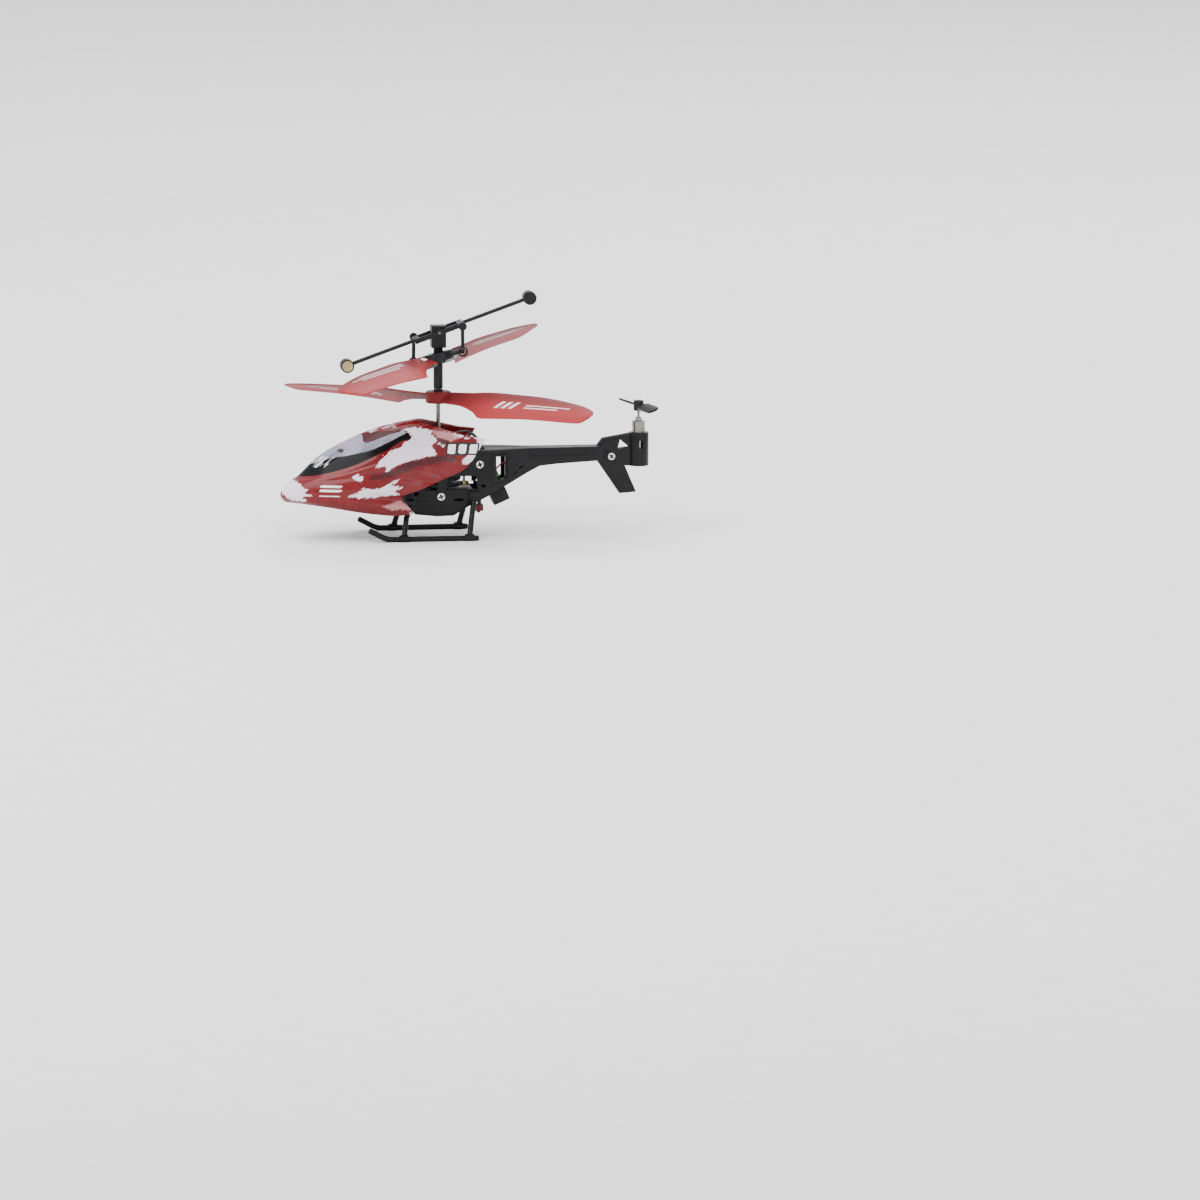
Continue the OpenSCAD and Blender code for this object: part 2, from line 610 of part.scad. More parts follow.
lower_boss_r = 4.2;
lower_boss_h = 3.8;
hub_r = 1.6;
module lower_blades() {
    color([0.75, 0.15, 0.17, 0.85]) at_mast() translate([0, 0, lower_rotor_z]) rotate([0, 0, lower_turn]) difference() {
        union() {
            two_ends() main_blade(1, blade_stations[0][0]);
            translate([0, 0, -lower_boss_h / 2]) cylinder(h = lower_boss_h, r = lower_boss_r);
        }
        translate([0, 0, -5]) cylinder(h = 10, r = hub_r);
    }
}
module lower_hub() {
    color([0.1, 0.1, 0.11]) at_mast() translate([0, 0, lower_rotor_z - lower_boss_h / 2]) difference() {
        cylinder(h = lower_boss_h + 0.7, r = hub_r);
        translate([0, 0, -1]) cylinder(h = lower_boss_h + 3, r = tube_out_r);
    }
}

// ---------- rotor head ----------

sleeve_z = lower_rotor_z + lower_boss_h / 2 + 1;
sleeve_top = upper_rotor_z - 2.4;
module mast_sleeve() {
    color([0.1, 0.1, 0.11]) at_mast() translate([0, 0, sleeve_z]) difference() {
        cylinder(h = sleeve_top - sleeve_z, r = sleeve_r);
        translate([0, 0, -1]) cylinder(h = sleeve_top, r = inner_r);
    }
}

module head_block() {
    color([0.1, 0.1, 0.11]) at_mast() difference() {
        union() {
            translate([0, 0, sleeve_top]) cylinder(h = slab_z - sleeve_top + eps, r = sleeve_r);
            translate([-slab[0] / 2, -slab[1] / 2, slab_z]) cube([slab[0], slab[1], slab_top - slab_z]);
        }
        translate([0, 0, sleeve_top - 1]) cylinder(h = upper_rotor_z - 0.8 - sleeve_top + 1, r = inner_r);
        translate([0, 0, upper_rotor_z]) rotate([0, 0, upper_turn]) along_y([0, 0], -4, 4, pin_r);
        along_y([0, flybar_z], -4, 4, pin_r);
        // Grooves down the front and the rear of the slab
        for (s = [-1, 1]) translate([s * slab[0] / 2, 0, slab_z + 3]) cube([0.8, 1.6, 9], center = true);
    }
}

module teeter_pin() {
    color("silver") at_mast() translate([0, 0, upper_rotor_z]) rotate([0, 0, upper_turn])
        along_y([0, 0], -ring_out_r + 0.1, ring_out_r - 0.1, pin_r);
}
module flybar_pin() { color("silver") at_mast() along_y([0, flybar_z], -rail_out, rail_out, pin_r); }

module teeter_ring() {
    color([0.14, 0.14, 0.15]) at_mast() teeter_frame() difference() {
        translate([0, 0, -ring_h / 2]) cylinder(h = ring_h, r = ring_out_r);
        translate([0, 0, -ring_h]) cylinder(h = 2 * ring_h, r = ring_in_r);
        along_y([0, 0], -5, 5, pin_r + run_gap);
        rotate([0, 90, 0]) translate([0, 0, -5]) cylinder(h = 10, r = pin_r);
    }
}
module feather_pins() {
    color("silver") at_mast() teeter_frame() two_ends()
        translate([ring_in_r + 0.1, 0, 0]) rotate([0, 90, 0]) cylinder(h = yoke_out_r - ring_in_r - 0.3, r = pin_r);
}

grip_end = 11;
grip_pitch = blade_stations[0][3];
grip_t = 1.5;
blade_screw_x = 8.6;
module blade_yoke() {
    stud_dir = [sin(upper_turn), cos(upper_turn), 0];
    ball = [0, link_arm, 0];
    color([0.1, 0.1, 0.11]) at_mast() rotor_frame() difference() {
        union() {
            translate([0, 0, -yoke_h / 2]) cylinder(h = yoke_h, r = yoke_out_r);
            two_ends() {
                // Grip under the root of a blade
                rotate([-grip_pitch, 0, 0]) translate([yoke_in_r + 0.4, -3, -blade_t / 2 - grip_t])
                    cube([grip_end - yoke_in_r - 0.4, 5.6, grip_t]);
                // Arm, stud and ball for a link
                rod([0, yoke_out_r - 0.6, 0], ball - 2.2 * stud_dir, 0.65);
                translate(ball - 2.2 * stud_dir) sphere(r = 0.8);
                rod(ball - 2.2 * stud_dir, ball, 0.45);
                translate(ball) sphere(r = ball_r);
            }
        }
        translate([0, 0, -yoke_h - 3]) cylinder(h = 2 * yoke_h + 6, r = yoke_in_r);
        rotate([0, 90, 0]) translate([0, 0, -yoke_out_r + 0.1])
            cylinder(h = 2 * yoke_out_r - 0.2, r = pin_r + run_gap);
        two_ends() rotate([-grip_pitch, 0, 0]) translate([blade_screw_x, 0, -4]) cylinder(h = 4, r = 0.4);
    }
}
module upper_blades() {
    color([0.75, 0.15, 0.17, 0.85]) at_mast() rotor_frame() two_ends() difference() {
        main_blade(-1, upper_root_r);
        rotate([-grip_pitch, 0, 0]) translate([blade_screw_x, 0, -3]) cylinder(h = 6, r = 0.4);
    }
}
module blade_screws() {
    color("silver") at_mast() rotor_frame() two_ends() rotate([-grip_pitch, 0, 0]) translate([blade_screw_x, 0, 0]) {
        translate([0, 0, -blade_t / 2 - grip_t]) cylinder(h = grip_t + blade_t, r = 0.4);
        translate([0, 0, blade_t / 2]) difference() {
            cylinder(h = 0.5, r = 1);
            for (t = [0, 90]) rotate([0, 0, t]) translate([0, 0, 0.5]) cube([1.3, 0.3, 0.4], center = true);
        }
    }
}

// ---------- flybar ----------

bar_end = stud_x + 0.9;
module flybar_frame() {
    color([0.1, 0.1, 0.11]) at_mast() flybar_hinge() difference() {
        union() {
            both_sides() translate([-bar_end, rail_in, -0.8]) cube([2 * bar_end, rail_w, 1.6]);
            two_ends() {
                translate([bar_end - 1.9, -rail_out, -0.8]) cube([1.9, 2 * rail_out, 1.6]);
                // Stud for a link, with a head
                along_y([-stud_x, 0], rail_out - eps, stud_y + 0.9, stud_r);
                along_y([-stud_x, 0], stud_y + 0.8, stud_y + 1.2, stud_r + 0.35);
            }
            // Round ends where the pin passes
            both_sides() along_y([0, 0], rail_in, rail_out, 1.3);
        }
        along_y([0, 0], -9, 9, pin_r + run_gap);
        two_ends() translate([bar_end - 1.5, 0, 0]) rotate([0, 90, 0]) cylinder(h = 3, r = rod_r);
    }
}
module flybar_rods() {
    color([0.1, 0.1, 0.11]) at_mast() flybar_hinge() two_ends() difference() {
        translate([bar_end - 1.5, 0, 0]) rotate([0, 90, 0])
            cylinder(h = flybar_span / 2 - bar_end + 1.5, r = rod_r);
        along_y([flybar_span / 2, 0], -3, 3, weight_r);
    }
}
module weight_cups() {
    color([0.1, 0.1, 0.11]) at_mast() flybar_hinge() two_ends() translate([flybar_span / 2, 0, 0]) difference() {
        along_y([0, 0], -weight_len / 2, weight_len / 2, weight_r);
        along_y([0, 0], -weight_len / 2 + 0.6, weight_len, weight_r - 0.45);
    }
}
module weight_slugs() {
    color([0.72, 0.6, 0.36]) at_mast() flybar_hinge() two_ends() translate([flybar_span / 2, 0, 0])
        along_y([0, 0], -weight_len / 2 + 0.6, weight_len / 2 - 0.15, weight_r - 0.45);
}

// A link from the flybar's stud down to the yoke's ball; side is 1 for the port link
module head_link(side) {
    stud = [-side * stud_x * cos(flybar_rest), side * stud_y, flybar_z + side * stud_x * sin(flybar_rest)];
    reach = link_arm * sin(feather_rest);
    side_reach = link_arm * cos(feather_rest);
    // Where the yoke's ball is at rest
    ball = [side * (reach * sin(teeter_rest) * cos(upper_turn) - side_reach * sin(upper_turn)),
            side * (reach * sin(teeter_rest) * sin(upper_turn) + side_reach * cos(upper_turn)),
            upper_rotor_z + side * reach * cos(teeter_rest)];
    open_r = ball_r + ball_gap;
    mid_y = (stud[1] + ball[1]) / 2;
    foot = [ball[0], mid_y, ball[2]];
    head = [stud[0], mid_y, stud[2]];
    color([0.12, 0.12, 0.13]) at_mast() difference() {
        union() {
            along_y([head[0], head[2]], mid_y - eye_w / 2, mid_y + eye_w / 2, eye_r);
            along_y([foot[0], foot[2]], mid_y - eye_w / 2, mid_y + eye_w / 2, open_r + 0.5);
            rod(foot + [0, 0, open_r + 0.2], head - [0, 0, eye_r - 0.3], 0.62);
        }
        along_y([head[0], head[2]], mid_y - 2, mid_y + 2, stud_r + run_gap);
        along_y([foot[0], foot[2]], mid_y - 2, mid_y + 2, open_r);
    }
}
module link_port() { head_link(1); }
module link_starboard() { head_link(-1); }

// ---------- electronics ----------

module circuit_board() {
    color([0.08, 0.3, 0.16]) at_mast() block_frame()
        translate([-block_len / 2, -board_t / 2, -block_h / 2 + 0.6]) cube([block_len, board_t, block_h / 2 + 9.6]);
}
module board_chips() {
    color([0.12, 0.12, 0.12]) at_mast() block_frame() {
        translate([-1.6, board_t / 2, 6.6]) cube([3.2, 0.9, 3]);
        translate([1.2, board_t / 2, 5.4]) cube([1.3, 0.7, 0.8]);
        translate([-1.2, -board_t / 2 - 1, 6.2]) cube([2.6, 1, 2.8]);
        translate([1.2, -board_t / 2 - 0.7, 5.3]) cube([1, 0.7, 0.7]);
    }
}
module infrared_receiver() {
    color([0.25, 0.06, 0.07]) at_mast() translate([-13.4, 0, 9.3]) {
        translate([-1.5, -2, -1.1]) cube([3, 4, 2.2]);
        along_y([0, -1.1], -1.6, 1.6, 0.7);
        translate([-0.9, -1.2, 1]) cube([1.1, 2.4, 2.3]);
    }
}
module charge_socket() {
    color([0.13, 0.13, 0.14]) at_mast() block_frame() difference() {
        translate([-block_len / 2, board_t / 2, -block_h / 2]) cube([block_len, half_block_w, block_h]);
        translate([0, board_t / 2 + half_block_w / 2, -block_h / 2 - 1]) cylinder(h = jack_depth + 1, r = jack_r);
    }
}
slider_size = [1.2, 1.5, 0.9];
module switch_body() {
    gap = 0.15;
    color([0.11, 0.11, 0.12]) at_mast() block_frame() difference() {
        translate([-block_len / 2, -board_t / 2 - half_block_w, -block_h / 2]) cube([block_len, half_block_w, block_h]);
        translate([-slider_size[0] / 2 - slider_travel - gap, -board_t / 2 - half_block_w - 1, -slider_size[2] / 2 - gap])
            cube([slider_size[0] + 2 * slider_travel + 2 * gap, 1.9, slider_size[2] + 2 * gap]);
    }
}
module switch_slider() {
    color([0.2, 0.2, 0.2]) at_mast() block_frame()
        translate([-slider_size[0] / 2, -board_t / 2 - half_block_w - slider_size[1] + 0.8, -slider_size[2] / 2])
            cube(slider_size);
}
module motor_wires() {
    color([0.05, 0.05, 0.05]) at_mast() {
        swept_wire(front_wire, wire_r);
        swept_wire(rear_wire, wire_r);
    }
}
module tail_wires() { color([0.7, 0.08, 0.08]) at_mast() swept_wire(tail_wire, wire_r); }

// ---------- skids ----------

module runner(side) {
    front = [runner_front, side * runner_y, runner_z];
    tip_from = front + [bend_r * sin(bend_turn), 0, bend_r * (1 - cos(bend_turn))];
    tip_to = tip_from + tip_len * [cos(bend_turn), 0, sin(bend_turn)];
    difference() {
        union() {
            rod([runner_rear, side * runner_y, runner_z], front, runner_r);
            translate([runner_rear, side * runner_y, runner_z]) rotate([0, -90, 0])
                cylinder(h = 0.4, r1 = runner_r, r2 = 0.6 * runner_r);
            translate(front + [0, 0, bend_r]) rotate([90, 0, 0]) rotate([0, 0, -90])
                rotate_extrude(angle = bend_turn) translate([bend_r, 0]) circle(r = runner_r);
            rod(tip_from, tip_to, runner_r);
            translate(tip_to) rotate([0, 90 - bend_turn, 0]) cylinder(h = 0.4, r1 = runner_r, r2 = 0.6 * runner_r);
        }
        translate([runner_rear - 5, side * runner_y - 5, -5]) cube([40, 10, 5]);
    }
}
module left_runner() { color([0.1, 0.1, 0.11]) at_mast() runner(1); }
module right_runner() { color([0.1, 0.1, 0.11]) at_mast() runner(-1); }

// A leg from a clip on the runner at x, through the knee, to a foot on the frame's side
module strut(x, knee, foot, side) {
    clip_r = runner_r + 0.5;
    clip_len = 3;
    k = [knee[0], side * knee[1], knee[2]];
    f = [foot[0], side * (half_w + 1.1), foot[1]];
    difference() {
        union() {
            rod([x - clip_len / 2, side * runner_y, runner_z], [x + clip_len / 2, side * runner_y, runner_z], clip_r);
            rod([x, side * runner_y, runner_z], k, 0.95);
            translate(k) sphere(r = 0.95);
            rod(k, f, 0.95);
            translate([f[0] - 1.5, side > 0 ? half_w : -half_w - 1.5, f[2] - 1.5]) cube([3, 1.5, 3.4]);
        }
        rod([x - 5, side * runner_y, runner_z], [x + 5, side * runner_y, runner_z], runner_r);
        translate([x - 5, side * runner_y - 5, -5 + 1.2 * runner_flat]) cube([10, 10, 5]);
    }
}
module front_strut(side) { strut(13.4, [12, 9.9, 7.6], [10.2, 10.9], side); }
module rear_strut(side) { strut(-8.6, [-10, 10.2, 8.4], [-11, 13.6], side); }
module front_left_strut() { color([0.1, 0.1, 0.11]) at_mast() front_strut(1); }
module front_right_strut() { color([0.1, 0.1, 0.11]) at_mast() front_strut(-1); }
module rear_left_strut() { color([0.1, 0.1, 0.11]) at_mast() rear_strut(1); }
module rear_right_strut() { color([0.1, 0.1, 0.11]) at_mast() rear_strut(-1); }

// ---------- tail ----------

tail_screw_at = [boom_end - 5, 25.7];
module tail_fin() {
    spigot = [5, 2 * (boom_half_w - wall) - 0.3, deck_z - boom_bottom - 2 * wall - 0.4];
    color([0.12, 0.12, 0.13]) at_mast() difference() {
        union() {
            translate([boom_end, 0, 0]) side_plate(fin_outline, fin_t);
            translate([tail_x, 0, 22.3]) cylinder(h = 11.1, r = barrel_r);
            translate([boom_end - eps, -spigot[1] / 2, boom_bottom + wall + 0.3]) cube(spigot);
            // Collar that meets the end of the boom
            translate([boom_end - 2, -boom_half_w, boom_bottom]) cube([2, 2 * boom_half_w, deck_z - boom_bottom]);
            along_y(tail_screw_at, -fin_t / 2 - 0.5, fin_t / 2 + 0.5, 1.8);
        }
        translate([tail_x, 0, 20]) cylinder(h = 20, r = tail_motor_r);
        // Way for the wires
        translate([tail_x, 0.5, 27]) rotate([0, 90, 0]) cylinder(h = boom_end - tail_x + 6, r = wire_r + 0.1);
        // Triangle in the fin, and a slot in the barrel
        translate([boom_end, 0, 0]) side_plate([[-7.2, 28.2], [-8, 31.2], [-11, 28.6]], fin_t + 2);
        translate([tail_x - 1, 0, 28.2]) cube([1.2, 5, 2.7]);
        along_y(tail_screw_at, -2, 3, 0.5);
    }
}
module tail_motor() {
    color("silver") at_mast() {
        motor_can(tail_x, 23.2, tail_motor_r, 14, 5, true);
        translate([tail_x, 0, 37.2 - eps]) difference() {
            cylinder(h = 1.2, r = 1.1);
            translate([0, 0, -1]) cylinder(h = 4, r = motor_shaft_r + run_gap);
        }
    }
}
module tail_shaft() { color("silver") at_mast() translate([tail_x, 0, 32.6]) cylinder(h = 11.6, r = motor_shaft_r); }
module tail_rotor() {
    hub_h = 3.4;
    hub_r = 1.7;
    blade_r = tail_rotor_d / 2;
    chord = 4.4;
    color([0.09, 0.09, 0.1]) at_mast() translate([tail_x, 0, tail_hub_z]) rotate([0, 0, tail_turn]) difference() {
        union() {
            cylinder(h = hub_h, r = hub_r);
            two_ends() translate([0, 0, hub_h / 2]) rotate([22, 0, 0]) linear_extrude(height = 0.7, center = true)
                polygon([[1, -1], [4, -chord / 2], [blade_r - 1.5, -chord / 2 + 0.2], [blade_r - 0.4, -chord / 2 + 1],
                    [blade_r, 0], [blade_r - 0.4, chord / 2 - 1], [blade_r - 1.5, chord / 2 - 0.2], [4, chord / 2], [1, 1]]);
        }
        translate([0, 0, -1]) cylinder(h = 4.5, r = motor_shaft_r);
    }
}

module frame_screws() {
    color("silver") at_mast() for (p = screw_at) cross_screw(p, half_w, screw_head_r, screw_r, 9);
}
module tail_screw() { color("silver") at_mast() cross_screw(tail_screw_at, fin_t / 2 + 0.5, 1.35, 0.5, 2.8); }

canopy_shell();
windscreen();
frame_left();
frame_right();
front_tongue();
battery_cell();
canopy_pegs();
lower_plate();
motor_plate();
lower_bush();
upper_bush();
front_motor();
rear_motor();
motor_caps();
circuit_board();
board_chips();
infrared_receiver();
charge_socket();
switch_body();
switch_slider();
motor_wires();
tail_wires();
left_runner();
right_runner();
front_left_strut();
front_right_strut();
rear_left_strut();
rear_right_strut();
tail_fin();
tail_motor();
frame_screws();
tail_screw();
outer_shaft();
upper_gear();
lower_hub();
lower_blades();
inner_shaft();
lower_gear();
mast_sleeve();
head_block();
teeter_pin();
flybar_pin();
teeter_ring();
feather_pins();
blade_yoke();
upper_blades();
blade_screws();
flybar_frame();
flybar_rods();
weight_cups();
weight_slugs();
link_port();
link_starboard();
front_pinion();
front_pinion_shaft();
rear_pinion();
rear_pinion_shaft();
tail_rotor();
tail_shaft();
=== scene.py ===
"""Looks of a small indoor remote control helicopter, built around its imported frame."""
import json
import math

import bmesh
import bpy
from mathutils import Matrix, Vector


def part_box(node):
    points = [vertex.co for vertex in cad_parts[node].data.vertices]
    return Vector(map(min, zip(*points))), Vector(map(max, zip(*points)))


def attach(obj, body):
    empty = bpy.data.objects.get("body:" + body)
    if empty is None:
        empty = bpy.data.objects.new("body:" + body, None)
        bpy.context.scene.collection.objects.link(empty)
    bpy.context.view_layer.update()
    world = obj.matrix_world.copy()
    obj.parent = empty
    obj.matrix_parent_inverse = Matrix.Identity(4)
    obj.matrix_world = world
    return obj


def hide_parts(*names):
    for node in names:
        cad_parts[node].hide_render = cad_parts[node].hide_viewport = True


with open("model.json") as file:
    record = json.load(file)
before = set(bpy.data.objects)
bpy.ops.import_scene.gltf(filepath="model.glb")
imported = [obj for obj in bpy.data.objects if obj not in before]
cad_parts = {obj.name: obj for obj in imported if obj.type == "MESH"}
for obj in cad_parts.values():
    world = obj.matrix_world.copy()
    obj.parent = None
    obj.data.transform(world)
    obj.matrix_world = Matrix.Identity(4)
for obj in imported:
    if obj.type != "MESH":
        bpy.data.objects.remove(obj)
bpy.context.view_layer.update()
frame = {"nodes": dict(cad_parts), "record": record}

bl_info = {
    "name": "Indoor Coaxial Helicopter",
    "version": (1, 0, 0),
    "blender": (4, 5, 0),
    "location": "View3D > Sidebar > Helicopter",
    "description": "Builds the painted canopy, the translucent rotors, the fittings and the studio",
    "category": "Object",
}

MM = 0.001


def centre(node):
    """Middle of a CAD node's box, in metres."""
    low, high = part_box(node)
    return [(a + b) / 2 for a, b in zip(low, high)]


MAST_X = centre("inner_shaft")[0]


# ---------------------------------------------------------------- settings

def length(label, text, default_mm):
    return bpy.props.FloatProperty(
        name=label, description=text, default=default_mm * MM, min=0.0, unit="LENGTH", precision=5)


def colour(label, text, default):
    return bpy.props.FloatVectorProperty(
        name=label, description=text, default=default, size=3, min=0.0, max=1.0, subtype="COLOR")


class HELI_PG_paint(bpy.types.PropertyGroup):
    """Colours of the painted and moulded parts."""
    red: colour("Red", "Base paint of the canopy", (0.14, 0.0012, 0.003))
    splash: colour("Splash", "Pale paint thrown over the red", (0.78, 0.70, 0.78))
    # Shadow: dark red spray under the splashes, which also stands for painted shade in the crease under the
    # window
    shadow: colour("Shadow", "Dark red sprayed under the splashes", (0.03, 0.004, 0.006))
    glass: colour("Window", "Window tint", (0.004, 0.004, 0.005))
    # Band: colour of the grey band printed on the window, which also stands for a painted reflection of the
    # studio light
    band: colour("Window band", "Grey band printed on the window", (0.2, 0.2, 0.25))
    rotor: colour("Rotor", "Translucent plastic of the rotors", (0.235, 0.02, 0.022))
    black: colour("Black plastic", "Moulded plastic of the frame and the skids", (0.0065, 0.0065, 0.007))


class HELI_PG_sizes(bpy.types.PropertyGroup):
    """Sizes of the details that the frame leaves open."""
    canopy_wall: length("Canopy wall", "Thickness of the canopy's shell", 0.9)
    blade_thickness: length("Blade thickness", "Thickness of a main blade", 0.7)
    edge_round: length("Edge rounding", "Rounding along the moulded edges", 0.12)
    screw_head: length("Screw head", "Radius of a screw's head", 1.42)
    stud_radius: length("Stud radius", "Radius of the small moulded studs", 0.28)


class HELI_PG_stage(bpy.types.PropertyGroup):
    """Studio and camera."""
    lens: bpy.props.FloatProperty(
        name="Lens", description="Focal length in millimetres", default=720.0, min=20.0)
    distance: bpy.props.FloatProperty(
        name="Distance", description="From the camera to the mast", default=8.0, unit="LENGTH")
    turn: bpy.props.FloatProperty(
        name="Turn", description="Direction of the view about the vertical", subtype="ANGLE",
        default=math.radians(172.0))
    rise: bpy.props.FloatProperty(
        name="Rise", description="Height of the view above level", subtype="ANGLE",
        default=math.radians(8.5))
    aside: length("Aside", "How far the picture's middle lies to the right of the mast", 53.9)
    below: length("Below", "How far the picture's middle lies below the ground line", 21.6)


# ---------------------------------------------------------------- mesh helpers

def at_mast(x, y, z):
    """A place given in millimetres from the mast's foot, in metres in the frame."""
    return Vector((MAST_X + x * MM, y * MM, z * MM))


def piece_from_mesh(name, mesh, smooth_angle=35.0):
    obj = bpy.data.objects.new(name, mesh)
    bpy.context.scene.collection.objects.link(obj)
    if mesh.polygons:
        mesh.polygons.foreach_set("use_smooth", [True] * len(mesh.polygons))
        if smooth_angle is not None:
            mesh.set_sharp_from_angle(angle=math.radians(smooth_angle))
    mesh.update()
    return obj


def piece_from_bmesh(name, bm, smooth_angle=35.0):
    mesh = bpy.data.meshes.new(name)
    bm.to_mesh(mesh)
    bm.free()
    return piece_from_mesh(name, mesh, smooth_angle)


def settle(obj, body, material, replaced=()):
    """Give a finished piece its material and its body."""
    if material is not None:
        obj.data.materials.clear()
        obj.data.materials.append(material)
    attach(obj, body)
    if replaced:
        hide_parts(*replaced)
    return obj


def body_of(node):
    for body, nodes in frame["record"]["behaviour"]["bodies"].items():
        if node in nodes:
            return body
    raise ValueError("no body holds " + node)


def baked(obj):
    """The object's mesh after its modifiers, which are then gone."""
    depsgraph = bpy.context.evaluated_depsgraph_get()
    mesh = bpy.data.meshes.new_from_object(obj.evaluated_get(depsgraph))
    obj.modifiers.clear()
    old = obj.data
    obj.data = mesh
    bpy.data.meshes.remove(old)
    return obj


def softened(node, width, name=None, segments=2, angle=32.0):
    """A copy of a CAD node with its moulded edges rounded."""
    bm = bmesh.new()
    bm.from_mesh(frame["nodes"][node].data)
    bmesh.ops.remove_doubles(bm, verts=bm.verts, dist=2e-6)
    bmesh.ops.dissolve_limit(bm, angle_limit=math.radians(0.6), verts=bm.verts, edges=bm.edges)
    obj = piece_from_bmesh(name or node + "_moulded", bm, None)
    bevel = obj.modifiers.new("Rounding", "BEVEL")
    bevel.width = width
    bevel.segments = segments
    bevel.limit_method = "ANGLE"
    bevel.angle_limit = math.radians(angle)
    bevel.use_clamp_overlap = True
    baked(obj)
    obj.data.polygons.foreach_set("use_smooth", [True] * len(obj.data.polygons))
    obj.data.set_sharp_from_angle(angle=math.radians(38.0))
    return obj


def box_into(bm, low, high, turn=0.0):
    """Add a box from low to high, turned about Y through its middle, and return its vertices."""
    middle = (Vector(low) + Vector(high)) / 2
    size = Vector(high) - Vector(low)
    place = Matrix.Translation(middle) @ Matrix.Rotation(turn, 4, "Y")
    made = bmesh.ops.create_cube(bm, size=1.0, matrix=place @ Matrix.Diagonal((*size, 1.0)))
    return made["verts"]


def rounded_boxes(name, boxes, width):
    """One piece from boxes with rounded edges. Each box is (low, high, turn)."""
    bm = bmesh.new()
    for low, high, turn in boxes:
        box_into(bm, low, high, turn)
    bmesh.ops.bevel(bm, geom=bm.edges[:], offset=width, segments=2, affect="EDGES", clamp_overlap=True)
    return piece_from_bmesh(name, bm)


# ---------------------------------------------------------------- material helpers

class Shader:
    """A material with its principled shader, and short ways to add nodes to it."""

    def __init__(self, name):
        self.material = bpy.data.materials.new(name)
        self.material.use_nodes = True
        self.tree = self.material.node_tree
        self.nodes = self.tree.nodes
        self.links = self.tree.links
        self.surface = self.nodes["Principled BSDF"]
        self.output = self.nodes["Material Output"]

    def plug(self, socket, value):
        if isinstance(value, bpy.types.NodeSocket):
            self.links.new(value, socket)
        elif socket.type == "RGBA" and len(value) == 3:
            socket.default_value = (*value, 1.0)
        else:
            socket.default_value = value

    def node(self, kind, settings=None, **inputs):
        made = self.nodes.new(kind)
        for key, value in (settings or {}).items():
            setattr(made, key, value)
        for key, value in inputs.items():
            self.plug(made.inputs[key.replace("_", " ")], value)
        return made

    def set(self, **inputs):
        for key, value in inputs.items():
            self.plug(self.surface.inputs[key.replace("_", " ")], value)

    def coords(self, scale=(1.0, 1.0, 1.0), turn=(0.0, 0.0, 0.0)):
        place = self.node("ShaderNodeTexCoord").outputs["Object"]
        spread = tuple(1.0 / part for part in scale)
        made = self.node("ShaderNodeMapping", {"vector_type": "TEXTURE"},
                         Vector=place, Scale=spread, Rotation=turn)
        return made.outputs["Vector"]

    def noise(self, scale, detail=3.0, roughness=0.5, vector=None, distortion=0.0):
        made = self.node("ShaderNodeTexNoise", Scale=scale, Detail=detail, Roughness=roughness,
                         Distortion=distortion)
        self.links.new(vector or self.coords(), made.inputs["Vector"])
        return made.outputs["Fac"]

    def ramp(self, value, low, high, low_to=0.0, high_to=1.0, smooth=True):
        made = self.node("ShaderNodeMapRange", {"interpolation_type": "SMOOTHSTEP" if smooth else "LINEAR"})
        for key, val in (("Value", value), ("From Min", low), ("From Max", high),
                         ("To Min", low_to), ("To Max", high_to)):
            self.plug(made.inputs[key], val)
        return made.outputs["Result"]

    def math(self, operation, a, b=0.0, c=None):
        made = self.node("ShaderNodeMath", {"operation": operation})
        self.plug(made.inputs[0], a)
        self.plug(made.inputs[1], b)
        if c is not None:
            self.plug(made.inputs[2], c)
        return made.outputs[0]

    def mix(self, factor, a, b):
        made = self.node("ShaderNodeMix", {"data_type": "RGBA"})
        self.plug(made.inputs[0], factor)
        self.plug(made.inputs[6], a)
        self.plug(made.inputs[7], b)
        return made.outputs[2]

    def field(self, name):
        return self.node("ShaderNodeAttribute", {"attribute_name": name}).outputs["Fac"]

    def bump(self, height, strength, distance, normal=None):
        made = self.node("ShaderNodeBump", Strength=strength, Distance=distance, Height=height)
        if normal is not None:
            self.links.new(normal, made.inputs["Normal"])
        return made.outputs["Normal"]


def scaled(rgb, factor):
    return tuple(min(1.0, c * factor) for c in rgb)


def moulded_plastic(name, rgb, rough=0.42, grain=0.3, wear=0.35):
    """Injection-moulded plastic: fine spark-eroded grain, faint flow marks and rubbed patches."""
    s = Shader(name)
    flow = s.noise(120.0, 4.0, 0.6, s.coords((1.0, 1.0, 3.0)), 0.6)
    rub = s.ramp(s.noise(420.0, 5.0, 0.7), 0.56, 0.74)
    tone = s.mix(s.ramp(flow, 0.3, 0.7), scaled(rgb, 0.75), scaled(rgb, 1.3))
    tone = s.mix(s.math("MULTIPLY", rub, wear), tone, scaled(rgb, 3.2))
    fine = s.noise(9000.0, 2.0, 0.5)
    scratches = s.noise(900.0, 3.0, 0.6, s.coords((0.15, 1.0, 1.0), (0.0, 0.5, 0.3)))
    s.set(Base_Color=tone,
          Roughness=s.math("ADD", s.ramp(flow, 0.2, 0.8, rough - 0.07, rough + 0.09),
                           s.math("MULTIPLY", rub, 0.1)))
    s.set(Specular_IOR_Level=0.17)
    grain_bump = s.bump(fine, grain, 0.00002)
    s.set(Normal=s.bump(s.ramp(scratches, 0.62, 0.66), 0.15, 0.00002, grain_bump))
    return s.material


